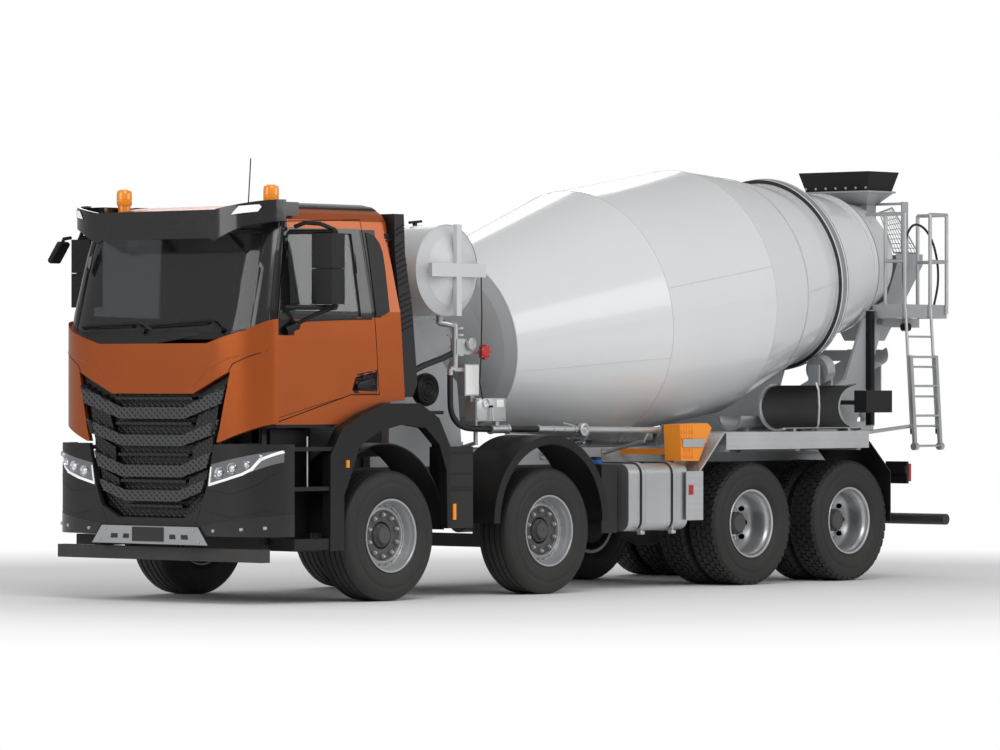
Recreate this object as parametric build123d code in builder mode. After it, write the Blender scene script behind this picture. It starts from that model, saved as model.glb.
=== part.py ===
"""Concrete mixer truck with four axles: an assembly of separate named pieces.

Millimetres. +Z is up, -Y is the front of the truck, +X is its left side. The origin lies on the
ground under the middle of the truck's length and width.
"""
from build123d import *
import os
from math import cos, radians, sin

os.makedirs("parts", exist_ok=True)

# Overall sizes
overall_length = 9535.0
front_overhang = 1500.0
axle_spacings = (1930.0, 2687.0, 1381.0)
seat_gap = 0.3
door_gap = 8.0
shaft_fit = 0.05

front_axle_y = -overall_length / 2 + front_overhang
axle_y = [front_axle_y]
for spacing in axle_spacings:
    axle_y.append(axle_y[-1] + spacing)
rear_end_y = overall_length / 2


def at(distance):
    """Returns the Y of a place that far behind the first axle."""
    return front_axle_y + distance


# Wheels and tyres
front_tyre_radius = 527.0
front_tyre_width = 365.0
rear_tyre_radius = 535.0
rear_tyre_width = 312.0
twin_spacing = 350.0
tyre_outer_face = 1248.0
rim_radius = 298.5
bead_radius = 284.0
wheel_bore = 45.0
wheel_centre_x = tyre_outer_face - front_tyre_width / 2
kingpin_x = 850.0
kingpin_radius = 22.0
drum_brake_radius = 205.0

# Chassis
frame_half_width = 425.0
rail_height = 280.0
rail_flange = 80.0
rail_wall = 9.0
rail_top = 1060.0
rail_front = at(-1050.0)
rail_rear = at(7350.0)
underrun_front_size = (2320.0, 90.0, 105.0)
underrun_front_z = 392.0
underrun_rear_radius = 50.0
underrun_rear_z = 515.0
underrun_rear_y = at(7530.0)
underrun_half_width = 1150.0

# Mixer frame
subframe_height = 140.0
subframe_front = at(620.0)
subframe_rear = at(7080.0)
subframe_top = rail_top + subframe_height

# Drum
drum_centre_y = at(5000.0)
drum_centre_z = 2535.0
drum_tilt = 8.43
drum_wall = 8.0
head_station = -2948.0
head_radius = 745.0
front_seam_station = -1307.0
front_seam_radius = 1094.0
rear_seam_station = 112.0
rear_seam_radius = 1106.0
ring_station = 1390.0
ring_width = 90.0
ring_radius = 878.0
ring_seat_radius = 800.0
neck_station = 2157.0
neck_radius = 625.0
neck_ring_radius = 655.0
mouth_station = 2600.0
mouth_radius = 500.0
flange_station = -3180.0
flange_radius = 190.0
roller_radius = 125.0
roller_width = 110.0
roller_angle = 30.0
roller_pin_radius = 25.0

# Cab
cab_half_width = 1150.0
cab_floor_z = 1400.0
cab_wall = 60.0
glass_thickness = 6.0

drum_plane = Plane(
    origin=(0, drum_centre_y, drum_centre_z),
    x_dir=(1, 0, 0),
    z_dir=(0, -sin(radians(drum_tilt)), cos(radians(drum_tilt))),
)


def on_drum_axis(station, side=0.0, depth=0.0):
    """Returns the point at a station along the drum axis, so far aside and so far below it."""
    return drum_plane.from_local_coords(Vector(side, station, -depth))


def slab(low, high, mode=Mode.ADD):
    """Adds a box between two corners to the open part."""
    size = [b - a for a, b in zip(low, high)]
    middle = [(a + b) / 2 for a, b in zip(low, high)]
    with Locations(tuple(middle)):
        Box(*size, mode=mode)


def bar(start, end, radius, mode=Mode.ADD):
    """Adds a round bar between two points to the open part."""
    run = Vector(*end) - Vector(*start)
    with BuildSketch(Plane(origin=start, z_dir=run)) as section:
        Circle(radius)
    extrude(section.sketch, amount=run.length, mode=mode)


def plate_yz(points, x_from, x_to, mode=Mode.ADD):
    """Adds a plate with a side outline of (y, z) points between two X places to the open part."""
    with BuildSketch(Plane.YZ.offset(x_from)) as outline:
        with BuildLine():
            Polyline(*points, close=True)
        make_face()
    extrude(outline.sketch, amount=x_to - x_from, mode=mode)


def plate_xz(points, y_from, y_to, mode=Mode.ADD):
    """Adds a plate with a front outline of (x, z) points between two Y places to the open part."""
    with BuildSketch(Plane.XZ.offset(-y_from)) as outline:
        with BuildLine():
            Polyline(*points, close=True)
        make_face()
    extrude(outline.sketch, amount=y_from - y_to, mode=mode)


def save(part, node):
    """Labels a finished piece and writes it as its node."""
    part.label = node
    export_step(part, f"parts/{node}.step")


sides = {"left": 1, "right": -1}

# Chassis frame
with BuildPart() as chassis_frame:
    for side in (1, -1):
        web = side * frame_half_width
        inner = side * (frame_half_width - rail_wall)
        tip = side * (frame_half_width - rail_flange)
        bottom = rail_top - rail_height
        plate_xz(
            [
                (web, bottom), (tip, bottom), (tip, bottom + rail_wall), (inner, bottom + rail_wall),
                (inner, rail_top - rail_wall), (tip, rail_top - rail_wall), (tip, rail_top), (web, rail_top),
            ],
            rail_front,
            rail_rear,
        )
        slab((min(web, tip), at(-1360.0), underrun_front_z), (max(web, tip), rail_front + 200.0, rail_top))
        slab(
            (min(web, tip), rail_rear - 160.0, underrun_rear_z - 10.0),
            (max(web, tip), underrun_rear_y, underrun_rear_z + 160.0),
        )
        slab((min(web, tip), rail_rear - 160.0, underrun_rear_z), (max(web, tip), rail_rear, rail_top))
    for place in (-1000.0, 1750.0, 3300.0, 4000.0, 5307.0, 6700.0, 7320.0):
        slab(
            (-frame_half_width + rail_wall, at(place) - 30.0, rail_top - 120.0),
            (frame_half_width - rail_wall, at(place) + 30.0, rail_top - 40.0),
        )
    with Locations((0, at(-1360.0), underrun_front_z)):
        Box(*underrun_front_size)
    bar(
        (-underrun_half_width, underrun_rear_y, underrun_rear_z),
        (underrun_half_width, underrun_rear_y, underrun_rear_z),
        underrun_rear_radius,
    )
    for side in (1, -1):
        low_x, high_x = sorted((side * frame_half_width, side * (frame_half_width - rail_flange)))
        slab((low_x, at(-1230.0), rail_top - 5.0), (high_x, at(-1150.0), cab_floor_z - seat_gap))
        slab((low_x, at(100.0), rail_top - 5.0), (high_x, at(160.0), 1605.5))
    with Locations(Plane(origin=(0, rail_rear - 60.0, rail_top - 130.0), z_dir=(0, 1, 0))):
        Cylinder(90.0, 90.0, align=(Align.CENTER, Align.CENTER, Align.MIN))
        Cylinder(30.0, 95.0, align=(Align.CENTER, Align.CENTER, Align.MIN), mode=Mode.SUBTRACT)
save(chassis_frame.part, "chassis_frame")

# Engine, with the gearbox behind it, as one plain block
with BuildPart() as engine_block:
    slab((-330.0, at(-900.0), 600.0), (330.0, at(700.0), 1255.0))
    slab((-200.0, at(700.0), 720.0), (200.0, at(1450.0), 1020.0))
    mount_reach = frame_half_width - rail_wall - seat_gap
    for place in (-700.0, 500.0):
        slab((-mount_reach, at(place), 850.0), (mount_reach, at(place) + 70.0, 930.0))
save(engine_block.part, "engine_block")

# Front axles: beam, kingpin bosses and leaf springs with their brackets
spring_x = (frame_half_width + 8.0, frame_half_width + 88.0)
spring_reach = 700.0
spring_seat_z = 600.0
boss_half = 60.0
with BuildPart() as front_axles:
    for y in axle_y[:2]:
        hub_z = front_tyre_radius
        slab((-kingpin_x + 140.0, y - 45.0, hub_z - 150.0), (kingpin_x - 140.0, y + 45.0, hub_z - 40.0))
        for side in (1, -1):
            end = side * kingpin_x
            with Locations((end, y, hub_z)):
                Cylinder(50.0, 2 * boss_half)
            bar((end, y, hub_z), (side * (kingpin_x - 200.0), y, hub_z - 95.0), 42.0)
            with Locations((end, y, hub_z)):
                Cylinder(kingpin_radius + shaft_fit, 2 * boss_half, mode=Mode.SUBTRACT)
            low_x, high_x = sorted((side * spring_x[0], side * spring_x[1]))
            slab((low_x, y - 60.0, hub_z - 60.0), (high_x, y + 60.0, spring_seat_z + 10.0))
            plate_yz(
                [
                    (y - spring_reach, spring_seat_z + 120.0), (y - 80.0, spring_seat_z),
                    (y + 80.0, spring_seat_z), (y + spring_reach, spring_seat_z + 120.0),
                    (y + spring_reach, spring_seat_z + 150.0), (y + 80.0, spring_seat_z + 75.0),
                    (y - 80.0, spring_seat_z + 75.0), (y - spring_reach, spring_seat_z + 150.0),
                ],
                low_x,
                high_x,
            )
            for end_y in (y - spring_reach, y + spring_reach):
                near = side * frame_half_width
                slab(
                    (min(near, side * spring_x[1]), end_y - 45.0, spring_seat_z + 90.0),
                    (max(near, side * spring_x[1]), end_y + 45.0, rail_top - 100.0),
                )

# Rear axles: tubes, final drives, tandem springs, trunnion and the shafts between them
tandem_y = (axle_y[2] + axle_y[3]) / 2
rear_hub_z = rear_tyre_radius
spindle_end = 1090.0
with BuildPart() as rear_axles:
    for y in axle_y[2:]:
        axle_plane = Plane(origin=(0, y, rear_hub_z), x_dir=(1, 0, 0), z_dir=(0, 0, 1))
        half_axle = [
            (spindle_end, 0.0), (spindle_end, wheel_bore - shaft_fit), (560.0, wheel_bore - shaft_fit),
            (560.0, 75.0), (220.0, 80.0), (140.0, 190.0), (60.0, 215.0),
        ]
        with BuildSketch(axle_plane):
            with BuildLine():
                Polyline(*half_axle, *[(-px, r) for px, r in reversed(half_axle)], close=True)
            make_face()
        revolve(axis=Axis((0, y, rear_hub_z), (1, 0, 0)))
        bar((0, y, rear_hub_z + 40.0), (0, y - 330.0, rear_hub_z + 40.0), 80.0)
    bar((0, axle_y[2] + 150.0, rear_hub_z + 40.0), (0, axle_y[3] - 300.0, rear_hub_z + 40.0), 45.0)
    bar((0, at(1457.0), 860.0), (0, axle_y[2] - 300.0, rear_hub_z + 40.0), 55.0)
    bar((-520.0, tandem_y, 640.0), (520.0, tandem_y, 640.0), 60.0)
    for side in (1, -1):
        low_x, high_x = sorted((side * (frame_half_width + 10.0), side * (frame_half_width + 100.0)))
        plate_yz(
            [
                (axle_y[2] - 90.0, rear_hub_z + 60.0), (axle_y[2] + 90.0, rear_hub_z + 60.0),
                (tandem_y, 650.0), (axle_y[3] - 90.0, rear_hub_z + 60.0), (axle_y[3] + 90.0, rear_hub_z + 60.0),
                (axle_y[3] + 90.0, rear_hub_z + 100.0), (tandem_y + 90.0, 820.0),
                (tandem_y - 90.0, 820.0), (axle_y[2] - 90.0, rear_hub_z + 100.0),
            ],
            low_x,
            high_x,
        )
        near = side * frame_half_width
        far = side * (frame_half_width + 100.0)
        slab((min(near, far), tandem_y - 110.0, 560.0), (max(near, far), tandem_y + 110.0, rail_top - 60.0))
with BuildPart() as axles:
    add(front_axles.part)
    add(rear_axles.part)
save(axles.part, "axles")

# Steering knuckles, rims and tyres of the two steered axles
knuckle_gap = 1.0
knuckle_eye = kingpin_radius + 6.0
stub_end = 1120.0
for axle_number, y in enumerate(axle_y[:2], start=1):
    for side_name, side in sides.items():
        hub_z = front_tyre_radius
        with BuildPart() as knuckle:
            for sign in (1, -1):
                low_z, high_z = sorted((hub_z + sign * (boss_half + knuckle_gap), hub_z + sign * (boss_half + 36.0)))
                low_x, high_x = sorted((side * kingpin_x, side * (kingpin_x + 90.0)))
                slab((low_x, y - 48.0, low_z), (high_x, y + 48.0, high_z))
                with Locations((side * kingpin_x, y, (low_z + high_z) / 2)):
                    Cylinder(knuckle_eye, high_z - low_z)
            with Locations((side * kingpin_x, y, hub_z)):
                Cylinder(kingpin_radius, 2 * boss_half + 72.0)
            low_x, high_x = sorted((side * (kingpin_x + 62.0), side * (kingpin_x + 90.0)))
            slab((low_x, y - 48.0, hub_z - boss_half - 36.0), (high_x, y + 48.0, hub_z + boss_half + 36.0))
            bar((side * (kingpin_x + 80.0), y, hub_z), (side * stub_end, y, hub_z), wheel_bore - shaft_fit)
            low_x, high_x = sorted((side * (kingpin_x - 28.0), side * (kingpin_x + 20.0)))
            slab((low_x, y + 40.0, hub_z - boss_half - 36.0), (high_x, y + 200.0, hub_z - boss_half - 8.0))
        save(knuckle.part, f"knuckle_{axle_number}_{side_name}")

        wheel_plane = Plane(origin=(0, y, hub_z), x_dir=(1, 0, 0), z_dir=(0, 0, 1))
        spin_axis = Axis((0, y, hub_z), (1, 0, 0))
        outer = tyre_outer_face
        with BuildPart() as rim:
            with BuildSketch(wheel_plane):
                with BuildLine():
                    Polyline(
                        *[
                            (side * px, r)
                            for px, r in (
                                (outer - 8.0, rim_radius), (outer - 16.0, rim_radius),
                                (outer - 18.0, bead_radius), (outer - 60.0, bead_radius - 6.0),
                                (outer - 120.0, 255.0), (outer - 210.0, 255.0), (outer - 260.0, bead_radius - 6.0),
                                (outer - 330.0, bead_radius), (outer - 332.0, rim_radius),
                                (outer - 340.0, rim_radius), (outer - 340.0, 274.0), (outer - 262.0, 268.0),
                                (outer - 214.0, 245.0), (outer - 150.0, 245.0), (outer - 150.0, 175.0),
                                (outer - 190.0, 150.0), (outer - 190.0, drum_brake_radius),
                                (outer - 292.0, drum_brake_radius), (outer - 292.0, 130.0),
                                (outer - 292.0, wheel_bore), (outer - 110.0, wheel_bore), (outer - 110.0, 0.0),
                                (outer - 70.0, 0.0), (outer - 70.0, 95.0), (outer - 120.0, 110.0),
                                (outer - 120.0, 180.0), (outer - 95.0, 235.0), (outer - 55.0, 262.0),
                                (outer - 8.0, 274.0),
                            )
                        ],
                        close=True,
                    )
                make_face()
            revolve(axis=spin_axis)
        save(rim.part, f"rim_{axle_number}_{side_name}")

        with BuildPart() as tyre:
            with BuildSketch(wheel_plane):
                with BuildLine():
                    Polyline(
                        *[
                            (side * px, r)
                            for px, r in (
                                (outer - 19.0, bead_radius + seat_gap), (outer - 19.0, 302.0), (outer - 4.0, 330.0),
                                (outer, 410.0), (outer - 12.0, 475.0), (outer - 45.0, front_tyre_radius - 6.0),
                                (outer - 90.0, front_tyre_radius),
                                (outer - front_tyre_width + 90.0, front_tyre_radius),
                                (outer - front_tyre_width + 45.0, front_tyre_radius - 6.0),
                                (outer - front_tyre_width + 12.0, 475.0), (outer - front_tyre_width, 410.0),
                                (outer - front_tyre_width + 10.0, 330.0), (outer - 329.0, 302.0),
                                (outer - 329.0, bead_radius + seat_gap),
                            )
                        ],
                        close=True,
                    )
                make_face()
            revolve(axis=spin_axis)
        save(tyre.part, f"tyre_{axle_number}_{side_name}")

# Twin wheels of the two rear axles
for axle_number, y in enumerate(axle_y[2:], start=3):
    for side_name, side in sides.items():
        twin_plane = Plane(origin=(0, y, rear_hub_z), x_dir=(1, 0, 0), z_dir=(0, 0, 1))
        spin_axis = Axis((0, y, rear_hub_z), (1, 0, 0))
        with BuildPart() as rims:
            for offset_x, disc_side in ((0.0, -1), (twin_spacing, 1)):
                face = tyre_outer_face - offset_x - 22.0
                middle = tyre_outer_face - twin_spacing / 2 - rear_tyre_width / 2
                width = rear_tyre_width - 44.0
                with BuildSketch(twin_plane):
                    with BuildLine():
                        Polyline(
                            *[
                                (side * (face - dx), r)
                                for dx, r in (
                                    (0.0, rim_radius), (8.0, rim_radius), (10.0, bead_radius),
                                    (70.0, bead_radius - 8.0), (100.0, 258.0), (width - 100.0, 258.0),
                                    (width - 70.0, bead_radius - 8.0), (width - 10.0, bead_radius),
                                    (width - 8.0, rim_radius), (width, rim_radius), (width, 272.0),
                                    (width - 90.0, 248.0), (90.0, 248.0), (0.0, 272.0),
                                )
                            ],
                            close=True,
                        )
                    make_face()
                revolve(axis=spin_axis)
                with BuildSketch(twin_plane):
                    with BuildLine():
                        near = face - width + 95.0 if disc_side < 0 else face - 95.0
                        Polyline(
                            *[
                                (side * px, r)
                                for px, r in (
                                    (near, 250.0), (near + 12.0 * disc_side * -1, 250.0),
                                    (middle + 12.0 * disc_side * -1, 170.0), (middle + 12.0 * disc_side * -1, 120.0),
                                    (middle, 120.0), (middle, 170.0),
                                )
                            ],
                            close=True,
                        )
                    make_face()
                revolve(axis=spin_axis)
            with BuildSketch(twin_plane):
                with BuildLine():
                    Polyline(
                        *[
                            (side * px, r)
                            for px, r in (
                                (600.0, wheel_bore), (600.0, drum_brake_radius), (740.0, drum_brake_radius),
                                (740.0, 140.0), (middle - 12.0, 125.0), (middle + 12.0, 125.0),
                                (1060.0, 100.0), (1140.0, 95.0), (1140.0, 0.0),
                                (1100.0, 0.0), (1100.0, wheel_bore),
                            )
                        ],
                        close=True,
                    )
                make_face()
            revolve(axis=spin_axis)
        save(rims.part, f"rims_{axle_number}_{side_name}")

        with BuildPart() as tyres:
            for offset_x in (0.0, twin_spacing):
                outer = tyre_outer_face - offset_x
                width = rear_tyre_width
                with BuildSketch(twin_plane):
                    with BuildLine():
                        Polyline(
                            *[
                                (side * px, r)
                                for px, r in (
                                    (outer - 33.0, bead_radius + seat_gap), (outer - 33.0, 302.0),
                                    (outer - 5.0, 335.0), (outer, 410.0), (outer - 8.0, 470.0),
                                    (outer - 24.0, rear_tyre_radius - 4.0), (outer - 60.0, rear_tyre_radius),
                                    (outer - width + 60.0, rear_tyre_radius),
                                    (outer - width + 24.0, rear_tyre_radius - 4.0), (outer - width + 8.0, 470.0),
                                    (outer - width, 410.0), (outer - width + 5.0, 335.0),
                                    (outer - width + 33.0, 302.0),
                                    (outer - width + 33.0, bead_radius + seat_gap),
                                )
                            ],
                            close=True,
                        )
                    make_face()
                revolve(axis=spin_axis)
        save(tyres.part, f"tyres_{axle_number}_{side_name}")

# Mixer frame: subframe rails, walkway outriggers, rear pedestal, roller pins and chute column
ring_centre = on_drum_axis(ring_station)
roller_clearance = 1.0
roller_reach = ring_radius + roller_radius + roller_clearance
roller_side = roller_reach * sin(radians(roller_angle))
roller_depth = roller_reach * cos(radians(roller_angle))
roller_centre = on_drum_axis(ring_station, roller_side, roller_depth)
pedestal_x = roller_side
pedestal_wall = 30.0
chute_pivot_y = at(7800.0)
chute_column_radius = 40.0
walkway_top = 1330.0
walkway_half_width = 1250.0
walkway_plate = 8.0
outrigger_top = walkway_top - 110.0
with BuildPart() as mixer_frame:
    for side in (1, -1):
        low_x, high_x = sorted((side * frame_half_width, side * (frame_half_width - rail_flange)))
        slab((low_x, subframe_front, rail_top), (high_x, subframe_rear, subframe_top))
        for place in (4330.0, 5307.0, 6180.0):
            low_x, high_x = sorted((side * (frame_half_width - 10.0), side * (walkway_half_width - 60.0)))
            slab((low_x, at(place) - 30.0, outrigger_top - 60.0), (high_x, at(place) + 30.0, outrigger_top))
        low_x, high_x = sorted((side * (pedestal_x - pedestal_wall / 2), side * (pedestal_x + pedestal_wall / 2)))
        plate_yz(
            [
                (at(5330.0), subframe_top - 60.0), (at(6900.0), subframe_top - 60.0), (at(7400.0), 2270.0),
                (at(7960.0), 2270.0), (at(7960.0), 2355.0), (at(7130.0), 2355.0), (at(6850.0), 1790.0),
                (at(6650.0), 1700.0), (at(6350.0), 1700.0), (at(5800.0), 1600.0), (at(5500.0), 1450.0),
            ],
            low_x,
            high_x,
        )
        low_x, high_x = sorted((side * (frame_half_width - 20.0), side * (pedestal_x + 10.0)))
        slab((low_x, at(5400.0), subframe_top - 60.0), (high_x, at(6850.0), subframe_top))
        for low_y, high_y in ((-104.0, -80.0), (80.0, 104.0)):
            low_x, high_x = sorted((side * (roller_side - 60.0), side * (roller_side + 60.0)))
            slab(
                (low_x, roller_centre.Y + low_y, 1640.0),
                (high_x, roller_centre.Y + high_y, roller_centre.Z + 45.0),
            )
        start = on_drum_axis(ring_station - 100.0, side * roller_side, roller_depth)
        finish = on_drum_axis(ring_station + 100.0, side * roller_side, roller_depth)
        bar(tuple(start), tuple(finish), roller_pin_radius)
    for low, high in (
        ((at(1000.0), rail_top + 20.0), (at(1080.0), subframe_top)),
        ((at(2600.0), rail_top + 20.0), (at(2680.0), subframe_top)),
        ((at(4000.0), rail_top + 20.0), (at(4080.0), subframe_top)),
        ((at(5560.0), rail_top + 20.0), (at(5680.0), subframe_top + 90.0)),
        ((at(6860.0), rail_top + 20.0), (at(7000.0), subframe_top + 60.0)),
    ):
        slab((-frame_half_width + 20.0, low[0], low[1]), (frame_half_width - 20.0, high[0], high[1]))
    slab((-pedestal_x, at(7160.0), 1960.0), (pedestal_x, at(7260.0), 2060.0))
    slab((-60.0, at(6900.0), 1290.0), (60.0, chute_pivot_y + 60.0, 1400.0))
    slab((-60.0, at(6900.0), subframe_top), (60.0, at(7000.0), 1400.0))
    slab((-60.0, at(6940.0), 1390.0), (60.0, at(7000.0), 1700.0))
    bar((0, at(6970.0), 1690.0), (0, at(7210.0), 2010.0), 45.0)
    bar((0, chute_pivot_y, 1395.0), (0, chute_pivot_y, 1690.0), chute_column_radius)

# Drum: dished head, front cone, middle, rear cone, roller ring and neck, open at the mouth
drum_axis = Axis((0, drum_centre_y, drum_centre_z), (0, cos(radians(drum_tilt)), sin(radians(drum_tilt))))
ring_front = ring_station - ring_width / 2
ring_back = ring_station + ring_width / 2
with BuildPart() as drum:
    with BuildSketch(drum_plane):
        with BuildLine():
            Polyline(
                (0, flange_station), (flange_radius, flange_station), (flange_radius, flange_station + 40.0),
                (450.0, head_station - 95.0), (640.0, head_station - 50.0), (head_radius, head_station),
                (front_seam_radius, front_seam_station), (rear_seam_radius, rear_seam_station),
                (ring_seat_radius + 17.0, ring_front), (ring_radius, ring_front), (ring_radius, ring_back),
                (ring_seat_radius - 5.0, ring_back), (neck_radius + 15.0, neck_station - 28.0),
                (neck_ring_radius, neck_station - 28.0), (neck_ring_radius, neck_station + 28.0),
                (neck_radius, neck_station + 28.0), (mouth_radius, mouth_station),
                (mouth_radius - drum_wall, mouth_station), (neck_radius - drum_wall, neck_station + 20.0),
                (neck_radius + 5.0, neck_station - 36.0), (ring_seat_radius - 15.0, ring_back),
                (ring_seat_radius + 7.0, ring_front), (rear_seam_radius - drum_wall, rear_seam_station - 3.0),
                (front_seam_radius - drum_wall, front_seam_station + 3.0),
                (head_radius - drum_wall, head_station + 6.0), (640.0 - drum_wall, head_station - 42.0),
                (450.0, head_station - 87.0), (flange_radius - 20.0, flange_station + 50.0),
                (0, flange_station + 50.0),
                close=True,
            )
        make_face()
    revolve(axis=drum_axis)
save(drum.part, "drum")

# Support rollers under the roller ring
for side_name, side in sides.items():
    with BuildPart() as roller:
        roller_plane = Plane(
            origin=tuple(on_drum_axis(ring_station, side * roller_side, roller_depth)),
            z_dir=drum_axis.direction,
        )
        with BuildSketch(roller_plane):
            Circle(roller_radius)
            Circle(roller_pin_radius + shaft_fit, mode=Mode.SUBTRACT)
        extrude(amount=roller_width / 2, both=True)
    save(roller.part, f"roller_{side_name}")

# Front pedestal with the drum's gearbox and motor
with BuildPart() as front_pedestal:
    for side in (1, -1):
        low_x, high_x = sorted((side * 345.0, side * 425.0))
        slab((low_x, at(860.0), subframe_top), (high_x, at(1760.0), subframe_top + 60.0))
        low_x, high_x = sorted((side * 380.0, side * 410.0))
        plate_yz(
            [
                (at(860.0), subframe_top + 30.0), (at(1760.0), subframe_top + 30.0), (at(1700.0), 1760.0),
                (at(1240.0), 2180.0), (at(1160.0), 2298.0), (at(850.0), 2298.0), (at(900.0), 1900.0),
            ],
            low_x,
            high_x,
        )
        slab((low_x, at(850.0), 2260.0), (high_x, at(1150.0), 2299.0))
    slab((-400.0, at(880.0), subframe_top + 30.0), (400.0, at(910.0), 1800.0))
    slab((-400.0, at(1440.0), 1620.0), (400.0, at(1700.0), 1730.0))
    bar(tuple(on_drum_axis(flange_station - 1.0)), tuple(on_drum_axis(flange_station - 60.0)), flange_radius)
    bar(tuple(on_drum_axis(flange_station - 50.0)), tuple(on_drum_axis(flange_station - 380.0)), 250.0)
    bar(tuple(on_drum_axis(flange_station - 370.0)), tuple(on_drum_axis(flange_station - 680.0)), 110.0)
    slab((-200.0, at(1480.0), 1725.0), (200.0, at(1690.0), 1900.0))
save(front_pedestal.part, "front_pedestal")

# Water tank across the truck, on the front pedestal
tank_y = at(1000.0)
tank_z = 2680.0
tank_radius = 375.0
tank_half_length = 930.0
with BuildPart() as water_tank:
    tank_plane = Plane(origin=(0, tank_y, tank_z), x_dir=(1, 0, 0), z_dir=(0, 0, 1))
    with BuildSketch(tank_plane):
        with BuildLine():
            Polyline(
                (tank_half_length + 110.0, 0), (tank_half_length + 95.0, 150.0), (tank_half_length + 55.0, 290.0),
                (tank_half_length, tank_radius), (-tank_half_length, tank_radius),
                (-tank_half_length - 55.0, 290.0), (-tank_half_length - 95.0, 150.0),
                (-tank_half_length - 110.0, 0), close=True,
            )
        make_face()
    revolve(axis=Axis((0, tank_y, tank_z), (1, 0, 0)))
    for side in (1, -1):
        low_x, high_x = sorted((side * (tank_half_length + 100.0), side * (tank_half_length + 140.0)))
        slab((low_x, tank_y - 30.0, tank_z - tank_radius), (high_x, tank_y + 30.0, tank_z + tank_radius))
        slab((low_x, tank_y - 330.0, tank_z - 55.0), (high_x, tank_y + 330.0, tank_z + 55.0))
        low_x, high_x = sorted((side * 370.0, side * 420.0))
        slab((low_x, tank_y - 150.0, 2299.0), (high_x, tank_y + 150.0, tank_z - 200.0))
save(water_tank.part, "water_tank")

# Cab body: height, half width, front, rear and how far the front corners run back along the side
cab_sections = (
    (cab_floor_z, cab_half_width, -1300.0, 275.0, 85.0),
    (2060.0, 1150.0, -1300.0, 225.0, 85.0),
    (2100.0, 1150.0, -1420.0, 222.0, 200.0),
    (2326.0, 1147.0, -1365.0, 204.0, 190.0),
    (2800.0, 1095.0, -1249.0, 130.0, 160.0),
    (3050.0, 1062.0, -1170.0, 122.0, 140.0),
    (3110.0, 1030.0, -1120.0, 108.0, 130.0),
    (3155.0, 970.0, -1000.0, 80.0, 120.0),
    (3180.0, 890.0, -820.0, 20.0, 110.0),
)
corner_ratio = 1.9


def rounded_front(height, half, front, rear, across, along):
    """Returns a level outline with elliptical front corners and square rear corners."""
    with BuildSketch(Plane.XY.offset(height)) as outline:
        with BuildLine():
            Line((-half, rear), (half, rear))
            Line((half, rear), (half, front + along))
            EllipticalCenterArc((half - across, front + along), across, along, start_angle=270, arc_size=90)
            Line((half - across, front), (-half + across, front))
            EllipticalCenterArc((-half + across, front + along), across, along, start_angle=180, arc_size=90)
            Line((-half, front + along), (-half, rear))
        make_face()
    return outline.sketch


def cab_body(inset):
    """Returns the cab's outer form drawn in by so much, with its wheel arch cut out."""
    outlines = []
    for height, half, front, rear, along in cab_sections:
        lift = inset if height < 2200.0 else 0.0 if height < 3000.0 else -inset
        outlines.append(
            rounded_front(
                height + lift, half - inset, at(front) + inset, at(rear) - inset,
                corner_ratio * along - inset, along - inset,
            )
        )
    with BuildPart() as body:
        loft(outlines, ruled=True)
        plate_yz(
            [
                (at(-583.0) - inset / 4, 1390.0), (at(-583.0) - inset / 4, 1400.0 + inset),
                (at(-330.0) - inset / 4, 1515.0 + inset), (at(-46.0), 1598.0 + inset),
                (at(400.0), 1622.0 + inset), (at(400.0), 1390.0),
            ],
            -1300.0,
            1300.0,
            Mode.SUBTRACT,
        )
    return body.part


cab_outer = cab_body(0.0)
cab_seat = cab_body(-seat_gap)
cab_inner = cab_body(cab_wall)
door_skin = 20.0
cab_skin_inner = cab_body(door_skin)

door_outline = [
    (at(-1215.0), 1450.0), (at(-373.0), 1665.0), (at(-50.0), 1665.0), (at(-103.0), 2300.0),
    (at(-112.0), 2435.0), (at(-185.0), 3060.0), (at(-1050.0), 3030.0), (at(-1215.0), 2260.0),
]
door_window = [
    (at(-1078.0), 2300.0), (at(-262.0), 2290.0), (at(-300.0), 2950.0), (at(-1030.0), 2940.0),
]
windscreen_outline = [(-1000.0, 2165.0), (1000.0, 2165.0), (960.0, 2950.0), (-960.0, 2950.0)]
hinge_x = 1160.0
hinge_y = at(-1215.0)


def side_prism(points, grow, side, mode):
    """Adds a prism with a (y, z) outline, grown by so much, through one side of the open part."""
    with BuildSketch(Plane.YZ.offset(side * 600.0)) as outline:
        with BuildLine():
            Polyline(*points, close=True)
        make_face()
        if grow:
            offset(amount=grow, kind=Kind.INTERSECTION)
    extrude(outline.sketch, amount=side * 700.0, mode=mode)


def front_prism(points, grow, y_from, y_to, mode):
    """Adds a prism with an (x, z) outline, grown by so much, between two Y places of the open part."""
    with BuildSketch(Plane.XZ.offset(-y_from)) as outline:
        with BuildLine():
            Polyline(*points, close=True)
        make_face()
        if grow:
            offset(amount=grow, kind=Kind.INTERSECTION)
    extrude(outline.sketch, amount=y_from - y_to, mode=mode)


# Cab shell with openings for the windscreen and the doors
with BuildPart() as cab_shell:
    add(cab_outer)
    add(cab_inner, mode=Mode.SUBTRACT)
    front_prism(windscreen_outline, 0.0, at(-1500.0), at(-900.0), Mode.SUBTRACT)
    for side in (1, -1):
        side_prism(door_outline, door_gap, side, Mode.SUBTRACT)
        for hinge_z in (1560.0, 2100.0):
            low_x, high_x = sorted((side * 1095.0, side * 1117.0))
            slab((low_x, hinge_y - 30.0, hinge_z), (high_x, hinge_y + door_skin - seat_gap, hinge_z + 60.0))
save(cab_shell.part, "cab_shell")

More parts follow.
